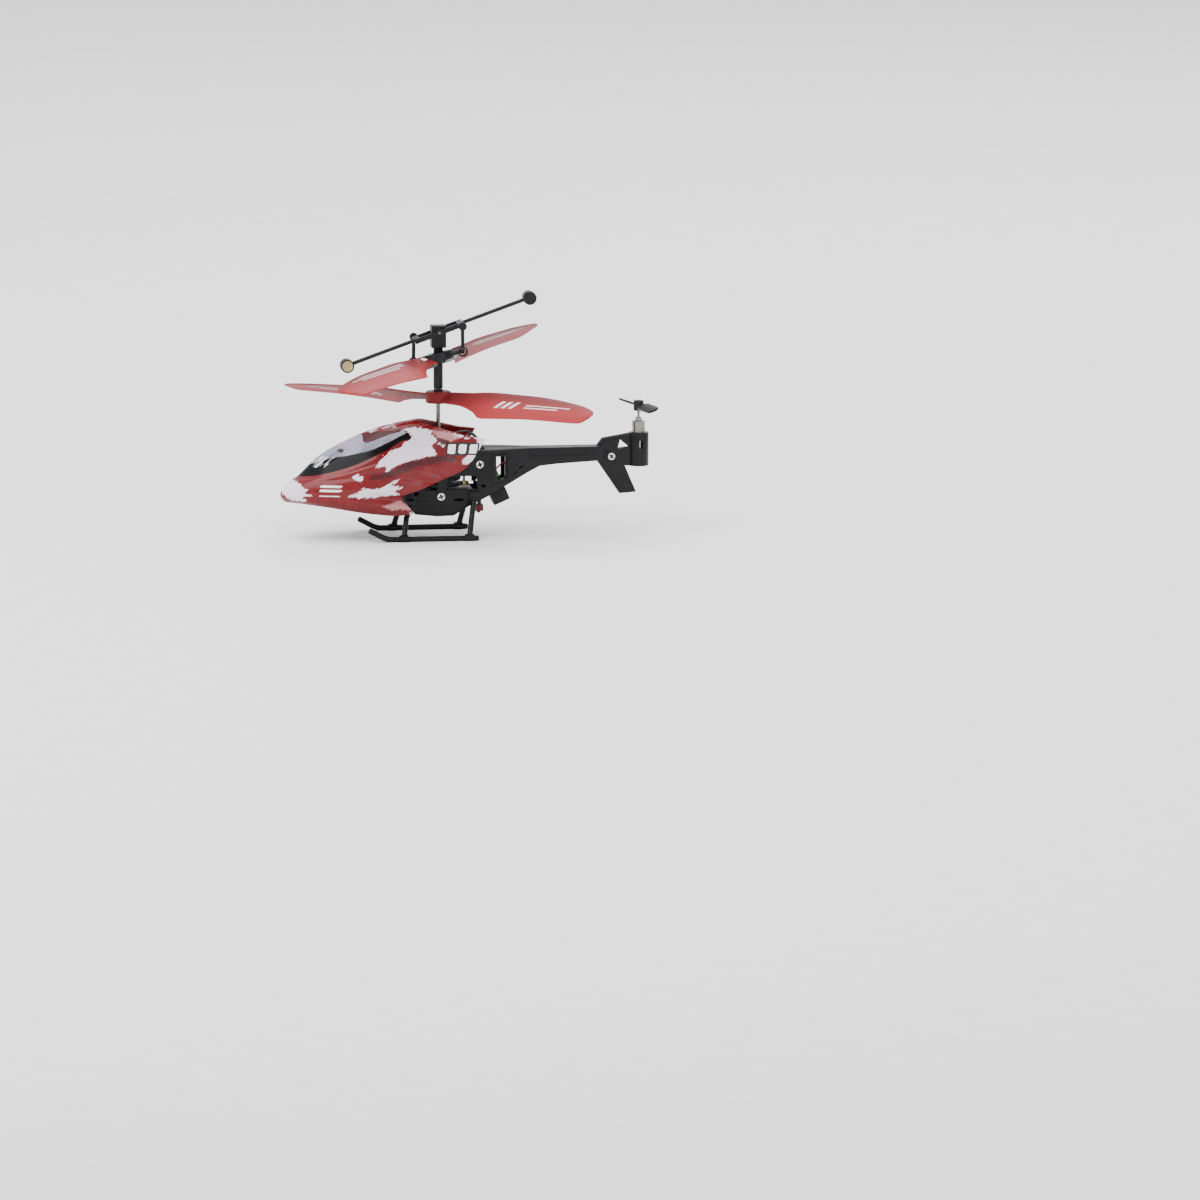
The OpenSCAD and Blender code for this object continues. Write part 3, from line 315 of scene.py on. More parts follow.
def turned_metal(name, rgb, rough=0.28, axis=2, ring_scale=3500.0):
    """Turned or ground metal: fine rings about an axis, with a few dull patches."""
    s = Shader(name)
    stretch = [0.08, 0.08, 0.08]
    stretch[axis] = 1.0
    rings = s.noise(ring_scale, 2.0, 0.5, s.coords(tuple(stretch)))
    stain = s.noise(260.0, 4.0, 0.6)
    s.set(Base_Color=s.mix(s.ramp(stain, 0.35, 0.7), rgb, scaled(rgb, 0.68)),
          Metallic=1.0,
          Roughness=s.ramp(rings, 0.3, 0.7, rough - 0.06, rough + 0.14),
          Normal=s.bump(rings, 0.25, 0.00001))
    s.set(Anisotropic=0.35)
    return s.material


MATERIALS = {}


def material(key):
    return MATERIALS[key]


def canopy_paint(paint):
    """Red gloss lacquer with pale splashes, dark sprayed edges that also stand for painted shade in the crease,
    pink painted highlights, painted shade along the lower edge, and small body stripes.
    """
    s = Shader("canopy_paint")
    rough_edge = s.noise(1150.0, 4.0, 0.6, s.coords((0.22, 1.0, 1.0), (0.0, 0.6, 0.0)))
    speck = s.noise(2600.0, 2.0, 0.5)
    torn = s.math("ADD", s.math("MULTIPLY", s.math("SUBTRACT", rough_edge, 0.5), 3.6),
                  s.math("MULTIPLY", s.math("SUBTRACT", speck, 0.5), 0.5))
    cover = s.ramp(s.math("ADD", s.field("splash"), torn), -0.07, 0.07)
    # Painted highlight: pink sheen of the studio light at the upper rear and at the lower rear corner
    sheen_mask = s.ramp(s.math("ADD", s.field("painted_sheen"), s.math("MULTIPLY", torn, 0.7)), -0.35, 0.35)
    # Dark spray under the splashes, also painted shade along the crease under the window
    dark = s.ramp(s.math("ADD", s.field("shadow"), s.math("MULTIPLY", torn, 1.5)), -0.06, 0.06)
    mottled = s.noise(300.0, 4.0, 0.6)
    streak = s.ramp(s.noise(700.0, 3.0, 0.6, s.coords((0.1, 1.0, 1.0), (0.0, 0.6, 0.0))), 0.55, 0.72)
    red = s.mix(s.ramp(mottled, 0.3, 0.7), scaled(paint.red, 0.86), scaled(paint.red, 1.1))
    red = s.mix(s.math("MULTIPLY", streak, 0.28), red, scaled(paint.red, 0.5))
    # Painted shade: the red darkens towards the canopy's lower edge
    red = s.mix(s.math("MULTIPLY", s.field("painted_bottom_shade"), 0.5), red, scaled(paint.red, 0.45))
    pale = s.mix(s.ramp(mottled, 0.3, 0.75), scaled(paint.splash, 0.93), paint.splash)
    # Dark spray and painted crease shade laid over the red
    base = s.mix(s.math("MULTIPLY", dark, 0.82), red, tuple(paint.shadow))
    # Painted highlight: pale pink sheen laid over the red
    base = s.mix(s.math("MULTIPLY", sheen_mask, 0.55), base, (0.62, 0.27, 0.29))
    base = s.mix(cover, base, pale)
    outline = s.ramp(s.field("mark_outline"), -0.58, -0.52)
    base = s.mix(outline, base, (0.012, 0.011, 0.012))
    base = s.mix(s.ramp(s.field("mark"), -0.03, 0.03), base, (0.83, 0.8, 0.82))
    dust = s.ramp(s.noise(5200.0, 2.0, 0.5), 0.70, 0.78)
    s.set(Base_Color=s.mix(s.math("MULTIPLY", dust, 0.12), base, (0.6, 0.56, 0.56)),
          Roughness=s.math("ADD", s.ramp(mottled, 0.2, 0.8, 0.22, 0.32), s.math("MULTIPLY", cover, 0.1)))
    s.set(Coat_Weight=0.12, Specular_IOR_Level=0.3)
    step = s.bump(cover, 0.35, 0.00004)
    s.set(Normal=s.bump(s.noise(1500.0, 2.0, 0.5), 0.05, 0.00008, step))
    return s.material


def window_print(paint):
    """Glossy window with a grey band that is printed and also stands for a painted reflection of the studio
    light, a lavender patch of painted reflection, a maroon pane, a dark smudge and pale scuffs.
    """
    s = Shader("window_print")
    torn = s.math("MULTIPLY", s.math("SUBTRACT", s.noise(900.0, 4.0, 0.6), 0.5), 0.35)
    # Painted reflection: grey band of the studio light across the window, also a print on it
    band = s.ramp(s.math("ADD", s.field("band"), torn), -0.12, 0.12)
    shade = s.ramp(s.noise(160.0, 3.0, 0.5, s.coords((0.5, 1.0, 1.4), (0.0, 0.5, 0.0))), 0.35, 0.65)
    band_tone = s.mix(shade, scaled(paint.band, 0.62), scaled(paint.band, 1.35))
    base = s.mix(band, tuple(paint.glass), band_tone)
    # Painted reflection: lavender patch where the reflected band is brightest
    base = s.mix(s.ramp(s.field("lavender_reflection"), -0.9, 0.7), base, (0.3, 0.25, 0.34))
    base = s.mix(s.ramp(s.math("ADD", s.field("maroon"), torn), -0.1, 0.1), base, (0.05, 0.011, 0.015))
    base = s.mix(s.ramp(s.math("ADD", s.field("smudge"), torn), -0.15, 0.15), base, (0.035, 0.02, 0.026))
    lines = s.ramp(s.noise(1500.0, 1.0, 0.4, s.coords((0.07, 1.0, 1.0), (0.0, 0.75, 0.0))), 0.53, 0.57)
    scuff = s.math("MULTIPLY", s.ramp(s.field("scuff"), -0.1, 0.1), lines)
    base = s.mix(scuff, base, (0.72, 0.72, 0.76))
    grease = s.noise(520.0, 4.0, 0.6)
    s.set(Base_Color=base, Roughness=s.ramp(grease, 0.35, 0.8, 0.17, 0.3))
    s.set(Specular_IOR_Level=0.12)
    s.set(Normal=s.bump(grease, 0.03, 0.0001))
    return s.material


def rotor_plastic(paint, name, printed):
    """Translucent red plastic, darker along its thick forward edge, with printed bars and fine scuffs."""
    s = Shader(name)
    span, chord = s.field("span_at"), s.field("chord_at")
    cloud = s.noise(130.0, 4.0, 0.55)
    thick = s.ramp(s.math("ADD", chord, s.math("MULTIPLY", cloud, 3.0)), -4.5, 5.5)
    base = s.mix(thick, scaled(paint.rotor, 1.35), scaled(paint.rotor, 0.62))
    rootward = s.ramp(span, 8.0, 24.0, 0.75, 0.0)
    base = s.mix(rootward, base, scaled(paint.rotor, 0.55))
    base = s.mix(s.math("MULTIPLY", s.field("edge_light"), 0.35), base, scaled(paint.rotor, 1.6))
    bars = None
    for low, high, back, front, lean in printed:
        run = s.math("SUBTRACT", span, s.math("MULTIPLY", chord, lean)) if lean else span
        inside = s.math("MINIMUM",
                        s.math("MINIMUM", s.math("SUBTRACT", run, low), s.math("SUBTRACT", high, run)),
                        s.math("MINIMUM", s.math("SUBTRACT", chord, back), s.math("SUBTRACT", front, chord)))
        bars = inside if bars is None else s.math("MAXIMUM", bars, inside)
    bars = s.math("MULTIPLY", s.ramp(bars, -0.04, 0.04), s.ramp(s.noise(2400.0, 3.0, 0.6), 0.3, 0.4))
    base = s.mix(s.math("MULTIPLY", bars, 0.9), base, (0.8, 0.7, 0.7))
    fine = s.noise(700.0, 3.0, 0.6, s.coords((1.0, 1.0, 1.0), (0.3, 0.1, 0.6)))
    s.set(Base_Color=base, Roughness=s.ramp(fine, 0.3, 0.7, 0.44, 0.54))
    s.set(Transmission_Weight=0.1, IOR=1.45, Specular_IOR_Level=0.1)
    s.set(Normal=s.bump(fine, 0.02, 0.00001))
    return s.material


def plated_screw():
    """Nickel plate, warm at the rim, with painted shade in the cross recess."""
    s = Shader("plated_screw")
    # Painted shade: the cross recess is darkened nearly to black and made dull, a little mottled
    painted_recess_shade = s.math("MULTIPLY", s.field("recess"), s.ramp(s.noise(1500.0, 3.0, 0.6), 0.1, 0.6, 0.8, 1.0))
    stain = s.ramp(s.noise(500.0, 4.0, 0.6), 0.35, 0.7)
    plate = s.mix(stain, (0.8, 0.78, 0.7), (0.62, 0.58, 0.46))
    s.set(Base_Color=s.mix(painted_recess_shade, plate, (0.012, 0.011, 0.01)),
          Metallic=s.math("SUBTRACT", 1.0, painted_recess_shade),
          Roughness=s.ramp(painted_recess_shade, 0.0, 1.0, 0.22, 0.7),
          Normal=s.bump(s.noise(3500.0, 2.0, 0.5), 0.2, 0.00001))
    return s.material


def circuit_board_green():
    """Solder mask with tracks and pads."""
    s = Shader("solder_mask")
    tracks = s.node("ShaderNodeTexBrick", Scale=900.0, Mortar_Size=0.09)
    s.links.new(s.coords((1.0, 1.0, 1.0), (math.radians(90), 0.0, 0.4)), tracks.inputs["Vector"])
    pads = s.ramp(s.noise(1400.0, 1.0, 0.4), 0.66, 0.68)
    base = s.mix(tracks.outputs["Fac"], (0.01, 0.11, 0.035), (0.02, 0.2, 0.07))
    s.set(Base_Color=s.mix(pads, base, (0.62, 0.5, 0.25)), Metallic=s.math("MULTIPLY", pads, 0.9),
          Roughness=0.35, Normal=s.bump(tracks.outputs["Fac"], 0.4, 0.00005))
    return s.material


def battery_foil():
    """Crimped aluminium pouch."""
    s = Shader("pouch_foil")
    crumple = s.noise(420.0, 5.0, 0.65, None, 1.2)
    s.set(Base_Color=s.mix(s.ramp(crumple, 0.3, 0.7), (0.55, 0.56, 0.58), (0.75, 0.76, 0.78)), Metallic=0.85,
          Roughness=s.ramp(crumple, 0.3, 0.7, 0.25, 0.45), Normal=s.bump(crumple, 0.4, 0.0002))
    return s.material


def insulation(name, rgb):
    """Soft wire insulation with a dusty bloom."""
    s = Shader(name)
    bloom = s.noise(900.0, 4.0, 0.6)
    s.set(Base_Color=s.mix(s.ramp(bloom, 0.4, 0.75), rgb, scaled(rgb, 1.7)),
          Roughness=s.ramp(bloom, 0.3, 0.7, 0.38, 0.55), Normal=s.bump(s.noise(3000.0), 0.1, 0.00003))
    return s.material


def studio_paper():
    """Pale seamless paper."""
    s = Shader("studio_paper")
    fibre = s.noise(90.0, 4.0, 0.6)
    s.set(Base_Color=s.mix(s.ramp(fibre, 0.3, 0.7), (0.87, 0.865, 0.86), (0.9, 0.895, 0.89)),
          Roughness=0.9, Normal=s.bump(s.noise(900.0), 0.05, 0.0002))
    return s.material


def make_materials(paint):
    black = tuple(paint.black)
    MATERIALS.update({
        "canopy": canopy_paint(paint),
        "window": window_print(paint),
        "lower_rotor": rotor_plastic(paint, "lower_rotor_plastic", LOWER_BARS),
        "upper_rotor": rotor_plastic(paint, "upper_rotor_plastic", UPPER_BARS),
        "frame": moulded_plastic("frame_plastic", black, 0.38, 0.25),
        "skid": moulded_plastic("skid_plastic", scaled(black, 0.9), 0.32, 0.2, 0.25),
        "head": moulded_plastic("head_plastic", scaled(black, 1.15), 0.36, 0.2),
        "chip": moulded_plastic("chip_epoxy", (0.02, 0.02, 0.021), 0.5, 0.5, 0.1),
        "gear": moulded_plastic("gear_nylon", (0.02, 0.02, 0.021), 0.4, 0.2, 0.1),
        "white": moulded_plastic("motor_cap_plastic", (0.55, 0.53, 0.48), 0.4, 0.2, 0.1),
        "receiver": moulded_plastic("receiver_resin", (0.09, 0.008, 0.012), 0.18, 0.1, 0.1),
        "steel": turned_metal("ground_steel", (0.16, 0.152, 0.14), 0.34, 2),
        "can": turned_metal("motor_can_steel", (0.24, 0.225, 0.2), 0.2, 2, 1800.0),
        "screw": plated_screw(),
        "brass": turned_metal("turned_brass", (0.42, 0.33, 0.16), 0.26, 1),
        "plate": turned_metal("rolled_aluminium", (0.6, 0.6, 0.62), 0.36, 0),
        "board": circuit_board_green(),
        "foil": battery_foil(),
        "red_wire": insulation("red_insulation", (0.45, 0.02, 0.02)),
        "black_wire": insulation("black_insulation", (0.02, 0.02, 0.02)),
        "paper": studio_paper(),
    })


# ---------------------------------------------------------------- canopy

# Port half of the canopy as ribs from the rear edge to the centre line. Each rib runs from the
# bottom edge up to the edge of the mast slot, in millimetres from the mast's foot.
CANOPY_RIBS = [
    [(9.8, 12.4, 9.1), (11.2, 13, 11.2), (13.9, 13.5, 14.9), (7.5, 13.8, 17.5), (0.5, 13.9, 20.6),
     (-5.5, 13.8, 23.1), (-8.4, 13.6, 25.3), (-10.4, 13.6, 28), (-12.2, 13.8, 31), (-14, 14, 34)],
    [(15.5, 12.8, 8.6), (17, 13.6, 11.6), (18.8, 13.9, 15.2), (13.5, 14, 19), (8, 14, 23),
     (3, 13.4, 27.5), (0.5, 12.8, 30), (-1.5, 12.2, 32), (-3.8, 11.9, 34), (-6, 11.6, 35.6)],
    [(21, 12.6, 9), (22.5, 13.6, 11.8), (24.2, 14, 15.3), (21, 13.9, 19.5), (16.5, 13.2, 26),
     (11, 9.6, 33.6), (10.7, 8.4, 35.2), (11.4, 7.2, 36.4), (7, 7.4, 37.3), (2.5, 7.8, 37.9)],
    [(28, 11.6, 9.8), (29.5, 12.9, 12.3), (30.8, 13.3, 15.6), (28.3, 13.1, 19.8), (24.3, 12.6, 25),
     (19.2, 11, 30.2), (18, 9, 33.6), (16, 5.6, 36.4), (11, 5.6, 37.6), (5, 5.8, 38.6)],
    [(37.5, 8.9, 11.2), (39.2, 10.2, 13.2), (40.2, 10.7, 16), (37.8, 10.9, 19.2), (34.5, 10.8, 22.2),
     (30, 10.4, 25.4), (26.8, 8.2, 31), (20.5, 3.8, 35.9), (13.5, 3.8, 37.8), (6.4, 3.9, 39)],
    [(46, 5, 12.1), (48.2, 5.8, 13.7), (48, 6.2, 16.6), (46.2, 6.6, 18.9), (43.6, 7, 20.5),
     (41, 7, 22.1), (34.8, 4.9, 28.6), (24.3, 1.9, 35.1), (15.8, 1.9, 37.4), (7.1, 2, 39.3)],
    [(51.8, 0, 12.4), (53.1, 0, 14.4), (52.2, 0, 16.9), (50.5, 0, 18.6), (49, 0, 19.9),
     (47.2, 0, 21), (39.4, 0, 28.1), (27, 0, 34.4), (17.3, 0, 37), (7.3, 0, 39.4)],
]
WINDOW_ROWS = (5, 7)
WINDOW_RIBS = (2, 10)
RIB_STEPS = 12
ROW_STEPS = 10
SKIN_INSET = 0.02


def spline(a, b, c, d, t):
    return (b + (c - a) * (t / 2) + (2 * a - 5 * b + 4 * c - d) * (t * t / 2)
            + (3 * b - a - 3 * c + d) * (t * t * t / 2))


def smooth_points(points, steps):
    """Points along a smooth curve through the given ones, with so many steps in each gap."""
    ends = [2 * points[0] - points[1], *points, 2 * points[-1] - points[-2]]
    out = []
    for i in range(len(points) - 1):
        for k in range(steps):
            out.append(spline(ends[i], ends[i + 1], ends[i + 2], ends[i + 3], k / steps))
    out.append(points[-1].copy() if hasattr(points[-1], "copy") else points[-1])
    return out


def canopy_points():
    """Grid of canopy points [rib][row], in millimetres from the mast's foot."""
    port = [[Vector(p) for p in rib] for rib in CANOPY_RIBS]
    starboard = [[Vector((p.x, -p.y, p.z)) for p in rib] for rib in reversed(port[:-1])]
    ribs = port + starboard
    rows = [smooth_points([rib[j] for rib in ribs], RIB_STEPS) for j in range(len(ribs[0]))]
    return [smooth_points([row[i] for row in rows], ROW_STEPS) for i in range(len(rows[0]))]


def grid_normals(grid):
    last_i, last_j = len(grid) - 1, len(grid[0]) - 1
    out = []
    for i in range(last_i + 1):
        line = []
        for j in range(last_j + 1):
            along = grid[min(i + 1, last_i)][j] - grid[max(i - 1, 0)][j]
            up = grid[i][min(j + 1, last_j)] - grid[i][max(j - 1, 0)]
            line.append(up.cross(along).normalized())
        out.append(line)
    return out


def inside_polygon(x, z, outline):
    """Signed distance from a point to an outline, positive inside."""
    best, inside = 1e9, False
    count = len(outline)
    for k in range(count):
        ax, az = outline[k]
        bx, bz = outline[(k + 1) % count]
        dx, dz = bx - ax, bz - az
        t = max(0.0, min(1.0, ((x - ax) * dx + (z - az) * dz) / (dx * dx + dz * dz)))
        best = min(best, math.hypot(x - ax - t * dx, z - az - t * dz))
        if (az > z) != (bz > z) and x < ax + (z - az) * dx / dz:
            inside = not inside
    return best if inside else -best


# Outlines of the paint, of the painted highlights and of the painted shade, seen from the side, as (X, Z) in
# millimetres from the mast's foot
SPLASHES = [
    [(53.6, 16.8), (50.5, 19.6), (47.8, 19.5), (46.4, 18.1), (44.9, 17.4), (46.3, 16.4), (43.9, 15.4),
     (46.4, 14.6), (44.8, 13.6), (48.5, 13.3), (51.2, 13.8), (52.6, 15.2)],
    [(12.4, 36.8), (8.6, 37.4), (4.8, 37.2), (3.3, 35.6), (1.9, 33.4), (3.6, 31.4), (2.4, 29.2), (6.6, 28.2),
     (12, 26.8), (15, 25.7), (19.5, 23.6), (19.2, 25.6), (22.6, 25), (21.2, 27.6), (17.3, 30.2), (13.7, 31.8),
     (10.4, 33.8), (10.2, 35.3)],
    [(32.4, 15.3), (28.6, 16.9), (26.9, 18.5), (24, 17.9), (20.5, 18.6), (17.4, 19.8), (14.6, 21.6),
     (16.6, 18.8), (13.8, 18.2), (16, 17.1), (15, 15.9), (19.1, 15.5), (27.9, 15.1)],
    [(30.7, 22.3), (28.7, 22.7), (26.9, 21.6), (27.4, 20.1), (29.3, 20.7)],
    [(23.4, 35.2), (20.4, 36.6), (15, 37.6), (14.8, 39), (19, 38.4), (23.4, 37)],
    [(12.8, 8), (9.8, 10.4), (8.8, 9), (11, 7.6)],
    [(-9.4, 35.4), (-14.4, 34.4), (-13.2, 31.4), (-11.2, 28.2), (-8, 25.2), (-5.8, 26.6), (-7.4, 28),
     (-10.4, 31.4), (-11.6, 33.4)],
    [(1.6, 32.2), (-0.6, 32.9), (-0.4, 31.6), (1.8, 30.9)],
    [(-3.4, 35.2), (-8.4, 34), (-8.6, 34.4), (-3.6, 35.8)],
]
# Painted highlights: pink sheen of the studio light at the upper rear and at the lower rear corner
SHEEN_OUTLINES = [
    [(4.6, 36.8), (-2.4, 36), (-7, 34.8), (-3, 33.4), (1.6, 34.6)],
    [(20.4, 12), (14.4, 13.8), (11, 10.8), (17.6, 10.5)],
]
# Dark red spray under the splashes; the long band under the window also paints the shade of the crease there
SHADOWS = [
    [(26.8, 21), (22, 22.6), (17.6, 24), (12.4, 26.4), (6, 27.8), (0.6, 28.4), (-4.6, 28), (-2, 26.6),
     (6.2, 25.8), (12.1, 23.8), (16.6, 22.2), (21, 21.2)],
    [(4.4, 36), (1, 33.6), (2.6, 31.6), (-1.8, 30.4), (-1.4, 33.6)],
]


def slanted_bar(x, z, wide, high, lean):
    """A leaning bar, as an outline."""
    return [(x, z), (x + wide, z), (x + wide + lean, z + high), (x + lean, z + high)]


# Plain bars in place of lettering: three at the upper rear, two in a thin frame near the nose
REAR_BARS = [slanted_bar(x, 29.2, 2.5, 3.1, -0.5) for x in (-11.0, -7.4, -3.8)]
NOSE_BARS = [slanted_bar(x, z, 7.2, 0.75, -0.5) for x, z in ((34.0, 18.3), (34.2, 16.9))]
NOSE_LINE = [slanted_bar(34.6, 15.3, 7.0, 0.35, -0.2)]

# Grey band across the window: a print that also stands for a painted reflection of the studio light
WINDOW_BAND = [(45.4, 24.2), (41.4, 25.6), (36.6, 27.4), (30, 28.9), (23.4, 30.6), (15.4, 34.2), (11.6, 35.8),
               (13, 37.4), (20, 36.6), (28, 34.6), (34, 32), (40, 28.6), (43.6, 25.6)]
# Lavender patch of painted reflection inside the band
WINDOW_LAVENDER_REFLECTION = [(25.6, 36.4), (25.4, 32.9), (30, 31), (34, 30.2), (35, 33), (30, 36)]
WINDOW_MAROON = [(25.6, 36.4), (13.2, 38), (13.4, 36.1), (17.4, 35.2), (22, 33.5), (25.2, 32.4), (26, 32.8)]
WINDOW_SMUDGE = [(34.6, 29.7), (33.6, 30.5), (32.2, 30.2), (32.5, 29.3), (33.8, 29)]
WINDOW_SCUFFS = [slanted_bar(38.6, 24.2, 4.0, 3.6, -3.4)]


def add_field(mesh, name, places, outlines):
    """Store how far each vertex lies inside the nearest of some outlines, in millimetres."""
    attribute = mesh.attributes.new(name, "FLOAT", "POINT")
    inside = mesh.attributes["inside"].data
    values = [max(inside_polygon(x, z, outline) for outline in outlines) if side.value < 0.5 else -8.0
              for (x, z), side in zip(places, inside)]
    attribute.data.foreach_set("value", [max(-8.0, v) for v in values])


# The scoop behind the notch: its depth in millimetres, and its width in rows
SCOOP_DEPTH = 1.25
SCOOP_WIDTH = 0.42


def crease_depth(i, j):
    """How far the canopy's skin is pressed in, by rib and row number."""
    rib, row = i / RIB_STEPS, j / ROW_STEPS
    rib = min(rib, 12 - rib)
    # Scoop that runs forward from the notch, under a crisp line
    fade = max(0.0, min(1.0, (3.7 - rib) / 2.1))
    line = 2.12 + 0.1 * rib
    if row < line:
        scoop = math.exp(-((row - line + SCOOP_WIDTH) / SCOOP_WIDTH) ** 2)
    else:
        scoop = math.exp(-((row - line) / 0.07) ** 2) * 0.36
    depth = SCOOP_DEPTH * fade * scoop
    # Shallow valley that runs along the side under the window, and the ridge over it
    along = max(0.0, min(1.0, (4.6 - rib) / 1.4)) * max(0.0, min(1.0, rib * 3))
    valley = math.exp(-((row - 3.55) / 0.24) ** 2)
    groove = math.exp(-((row - 4.25) / 0.16) ** 2)
    return SKIN_INSET + depth + along * (0.68 * valley + 0.4 * groove)


def shell_mesh(name, outer, wall, keep_cell):
    """A closed skin on the cells of a grid for which keep_cell is true."""
    normals = grid_normals(outer)
    ni, nj = len(outer) - 1, len(outer[0]) - 1
    verts = [outer[i][j] for i in range(ni + 1) for j in range(nj + 1)]
    verts += [outer[i][j] - normals[i][j] * wall for i in range(ni + 1) for j in range(nj + 1)]
    count = (ni + 1) * (nj + 1)

    def at(i, j):
        return i * (nj + 1) + j

    def kept(i, j):
        return 0 <= i < ni and 0 <= j < nj and keep_cell(i, j)

    faces = []
    for i in range(ni):
        for j in range(nj):
            if not kept(i, j):
                continue
            a, b, c, d = at(i, j), at(i + 1, j), at(i + 1, j + 1), at(i, j + 1)
            faces.append((d, c, b, a))
            faces.append((b + count, c + count, d + count, a + count))
            for near, p, q in ((kept(i, j - 1), a, b), (kept(i + 1, j), b, c),
                               (kept(i, j + 1), c, d), (kept(i - 1, j), d, a)):
                if not near:
                    faces.append((p, q, q + count, p + count))
    mesh = bpy.data.meshes.new(name)
    mesh.from_pydata([v[:] for v in verts], [], faces)
    inside = mesh.attributes.new("inside", "FLOAT", "POINT")
    inside.data.foreach_set("value", [0.0] * count + [1.0] * count)
    return mesh


def finish_shell(mesh, rim):
    """Drop loose points, round the rims of a shell and return it still in millimetres."""
    bm = bmesh.new()
    bm.from_mesh(mesh)
    loose = [v for v in bm.verts if not v.link_faces]
    bmesh.ops.delete(bm, geom=loose, context="VERTS")
    bm.normal_update()
    sharp = [e for e in bm.edges if len(e.link_faces) == 2 and e.calc_face_angle() > math.radians(60)]
    bmesh.ops.bevel(bm, geom=sharp, offset=rim, segments=2, affect="EDGES", clamp_overlap=True)
    bm.to_mesh(mesh)
    bm.free()
    return mesh


def lofted_skin(name, depth_at, wall, keep_cell, rim, fields):
    """A closed skin from the canopy's grid, pressed in by depth_at, with its paint fields."""
    grid = canopy_points()
    normals = grid_normals(grid)
    pressed = [[grid[i][j] - normals[i][j] * depth_at(i, j) for j in range(len(grid[0]))]
               for i in range(len(grid))]
    mesh = finish_shell(shell_mesh(name, pressed, wall, keep_cell), rim)
    places = [(v.co.x, v.co.z) for v in mesh.vertices]
    for field, outlines in fields.items():
        add_field(mesh, field, places, outlines)
    return mesh, places


def in_window(i, j):
    return (WINDOW_RIBS[0] * RIB_STEPS <= i < WINDOW_RIBS[1] * RIB_STEPS
            and WINDOW_ROWS[0] * ROW_STEPS <= j < WINDOW_ROWS[1] * ROW_STEPS)


def to_frame(mesh):
    mesh.transform(Matrix.Translation((MAST_X, 0.0, 0.0)) @ Matrix.Scale(MM, 4))
    return mesh


class HELI_OT_canopy(bpy.types.Operator):
    """Loft the canopy with its body lines, its splashed paint, and its painted highlights and shade"""
    bl_idname = "helicopter.canopy"
    bl_label = "Canopy"

    def execute(self, context):
        wall = context.scene.heli_sizes.canopy_wall / MM
        mesh, places = lofted_skin(
            "canopy_paint_shell", crease_depth, wall, lambda i, j: not in_window(i, j), 0.16,
            # The pink outlines are painted highlights, the dark ones dark spray that also paints the crease shade
            {"splash": SPLASHES, "painted_sheen": SHEEN_OUTLINES, "shadow": SHADOWS,
             "mark": REAR_BARS + NOSE_BARS + NOSE_LINE, "mark_outline": REAR_BARS})
        # Painted shade along the lower edge: darker red below 13.5 mm, fully so at 8.5 mm
        tone = mesh.attributes.new("painted_bottom_shade", "FLOAT", "POINT")
        tone.data.foreach_set("value", [max(0.0, min(1.0, (13.5 - z) / 5.0)) for x, z in places])
        obj = piece_from_mesh("canopy_paint_shell", to_frame(mesh), 50.0)
        settle(obj, "airframe", material("canopy"), ["canopy_shell"])
        return {"FINISHED"}


# How far the pane lies under the canopy's skin, in millimetres
WINDOW_SINK = 0.05


class HELI_OT_window(bpy.types.Operator):
    """Loft the window into the canopy's opening, with its printed band of painted reflection"""
    bl_idname = "helicopter.window"
    bl_label = "Window"

    def execute(self, context):
        wall = context.scene.heli_sizes.canopy_wall / MM
        mesh, _ = lofted_skin(
            "window_pane", lambda i, j: WINDOW_SINK, wall - WINDOW_SINK, in_window, 0.12,
            # The band and the lavender patch are painted reflection on the window
            {"band": [WINDOW_BAND], "lavender_reflection": [WINDOW_LAVENDER_REFLECTION], "maroon": [WINDOW_MAROON],
             "smudge": [WINDOW_SMUDGE], "scuff": WINDOW_SCUFFS})
        obj = piece_from_mesh("window_pane", to_frame(mesh), 50.0)
        settle(obj, "airframe", material("window"), ["windscreen"])
        return {"FINISHED"}


# ---------------------------------------------------------------- main rotors

# Station of a blade: radius, forward edge, rear edge, pitch in degrees, for a rotor of 62.3 mm radius
BLADE_STATIONS = [
    (3.4, 3, 3.4, 27), (11, 3.6, 4.2, 27), (17, 4.6, 7, 27), (21, 5, 10.2, 26), (27, 5.3, 10.8, 23),
    (38, 5.4, 10.7, 19.5), (48, 3.8, 10.9, 18), (56, 1.4, 11.2, 17.5), (60.8, -1.4, 10.6, 17.5),
    (62.3, -4, 7, 17.5),
]
BLADE_CAMBER = 0.09
# Radius out to which the root keeps its own size, and radius of the tip
ROOT_END = 11
BLADE_TIP = 62.42
# Printed bars on a blade: from and to along the span, from and to across it (forward is positive), and lean
LOWER_BARS = [(26.5, 28.0, -5.4, -1.2, 0.35), (29.3, 30.8, -5.4, -1.2, 0.35), (32.1, 33.6, -5.4, -1.2, 0.35),
              (36.0, 53.0, -3.2, -2.5, 0.0), (36.0, 49.0, -4.9, -4.2, 0.0)]
UPPER_BARS = [(19.0, 44.0, 1.5, 2.0, 0.0), (20.0, 50.0, 0.1, 0.6, 0.0), (24.0, 46.0, -1.3, -0.8, 0.0)]


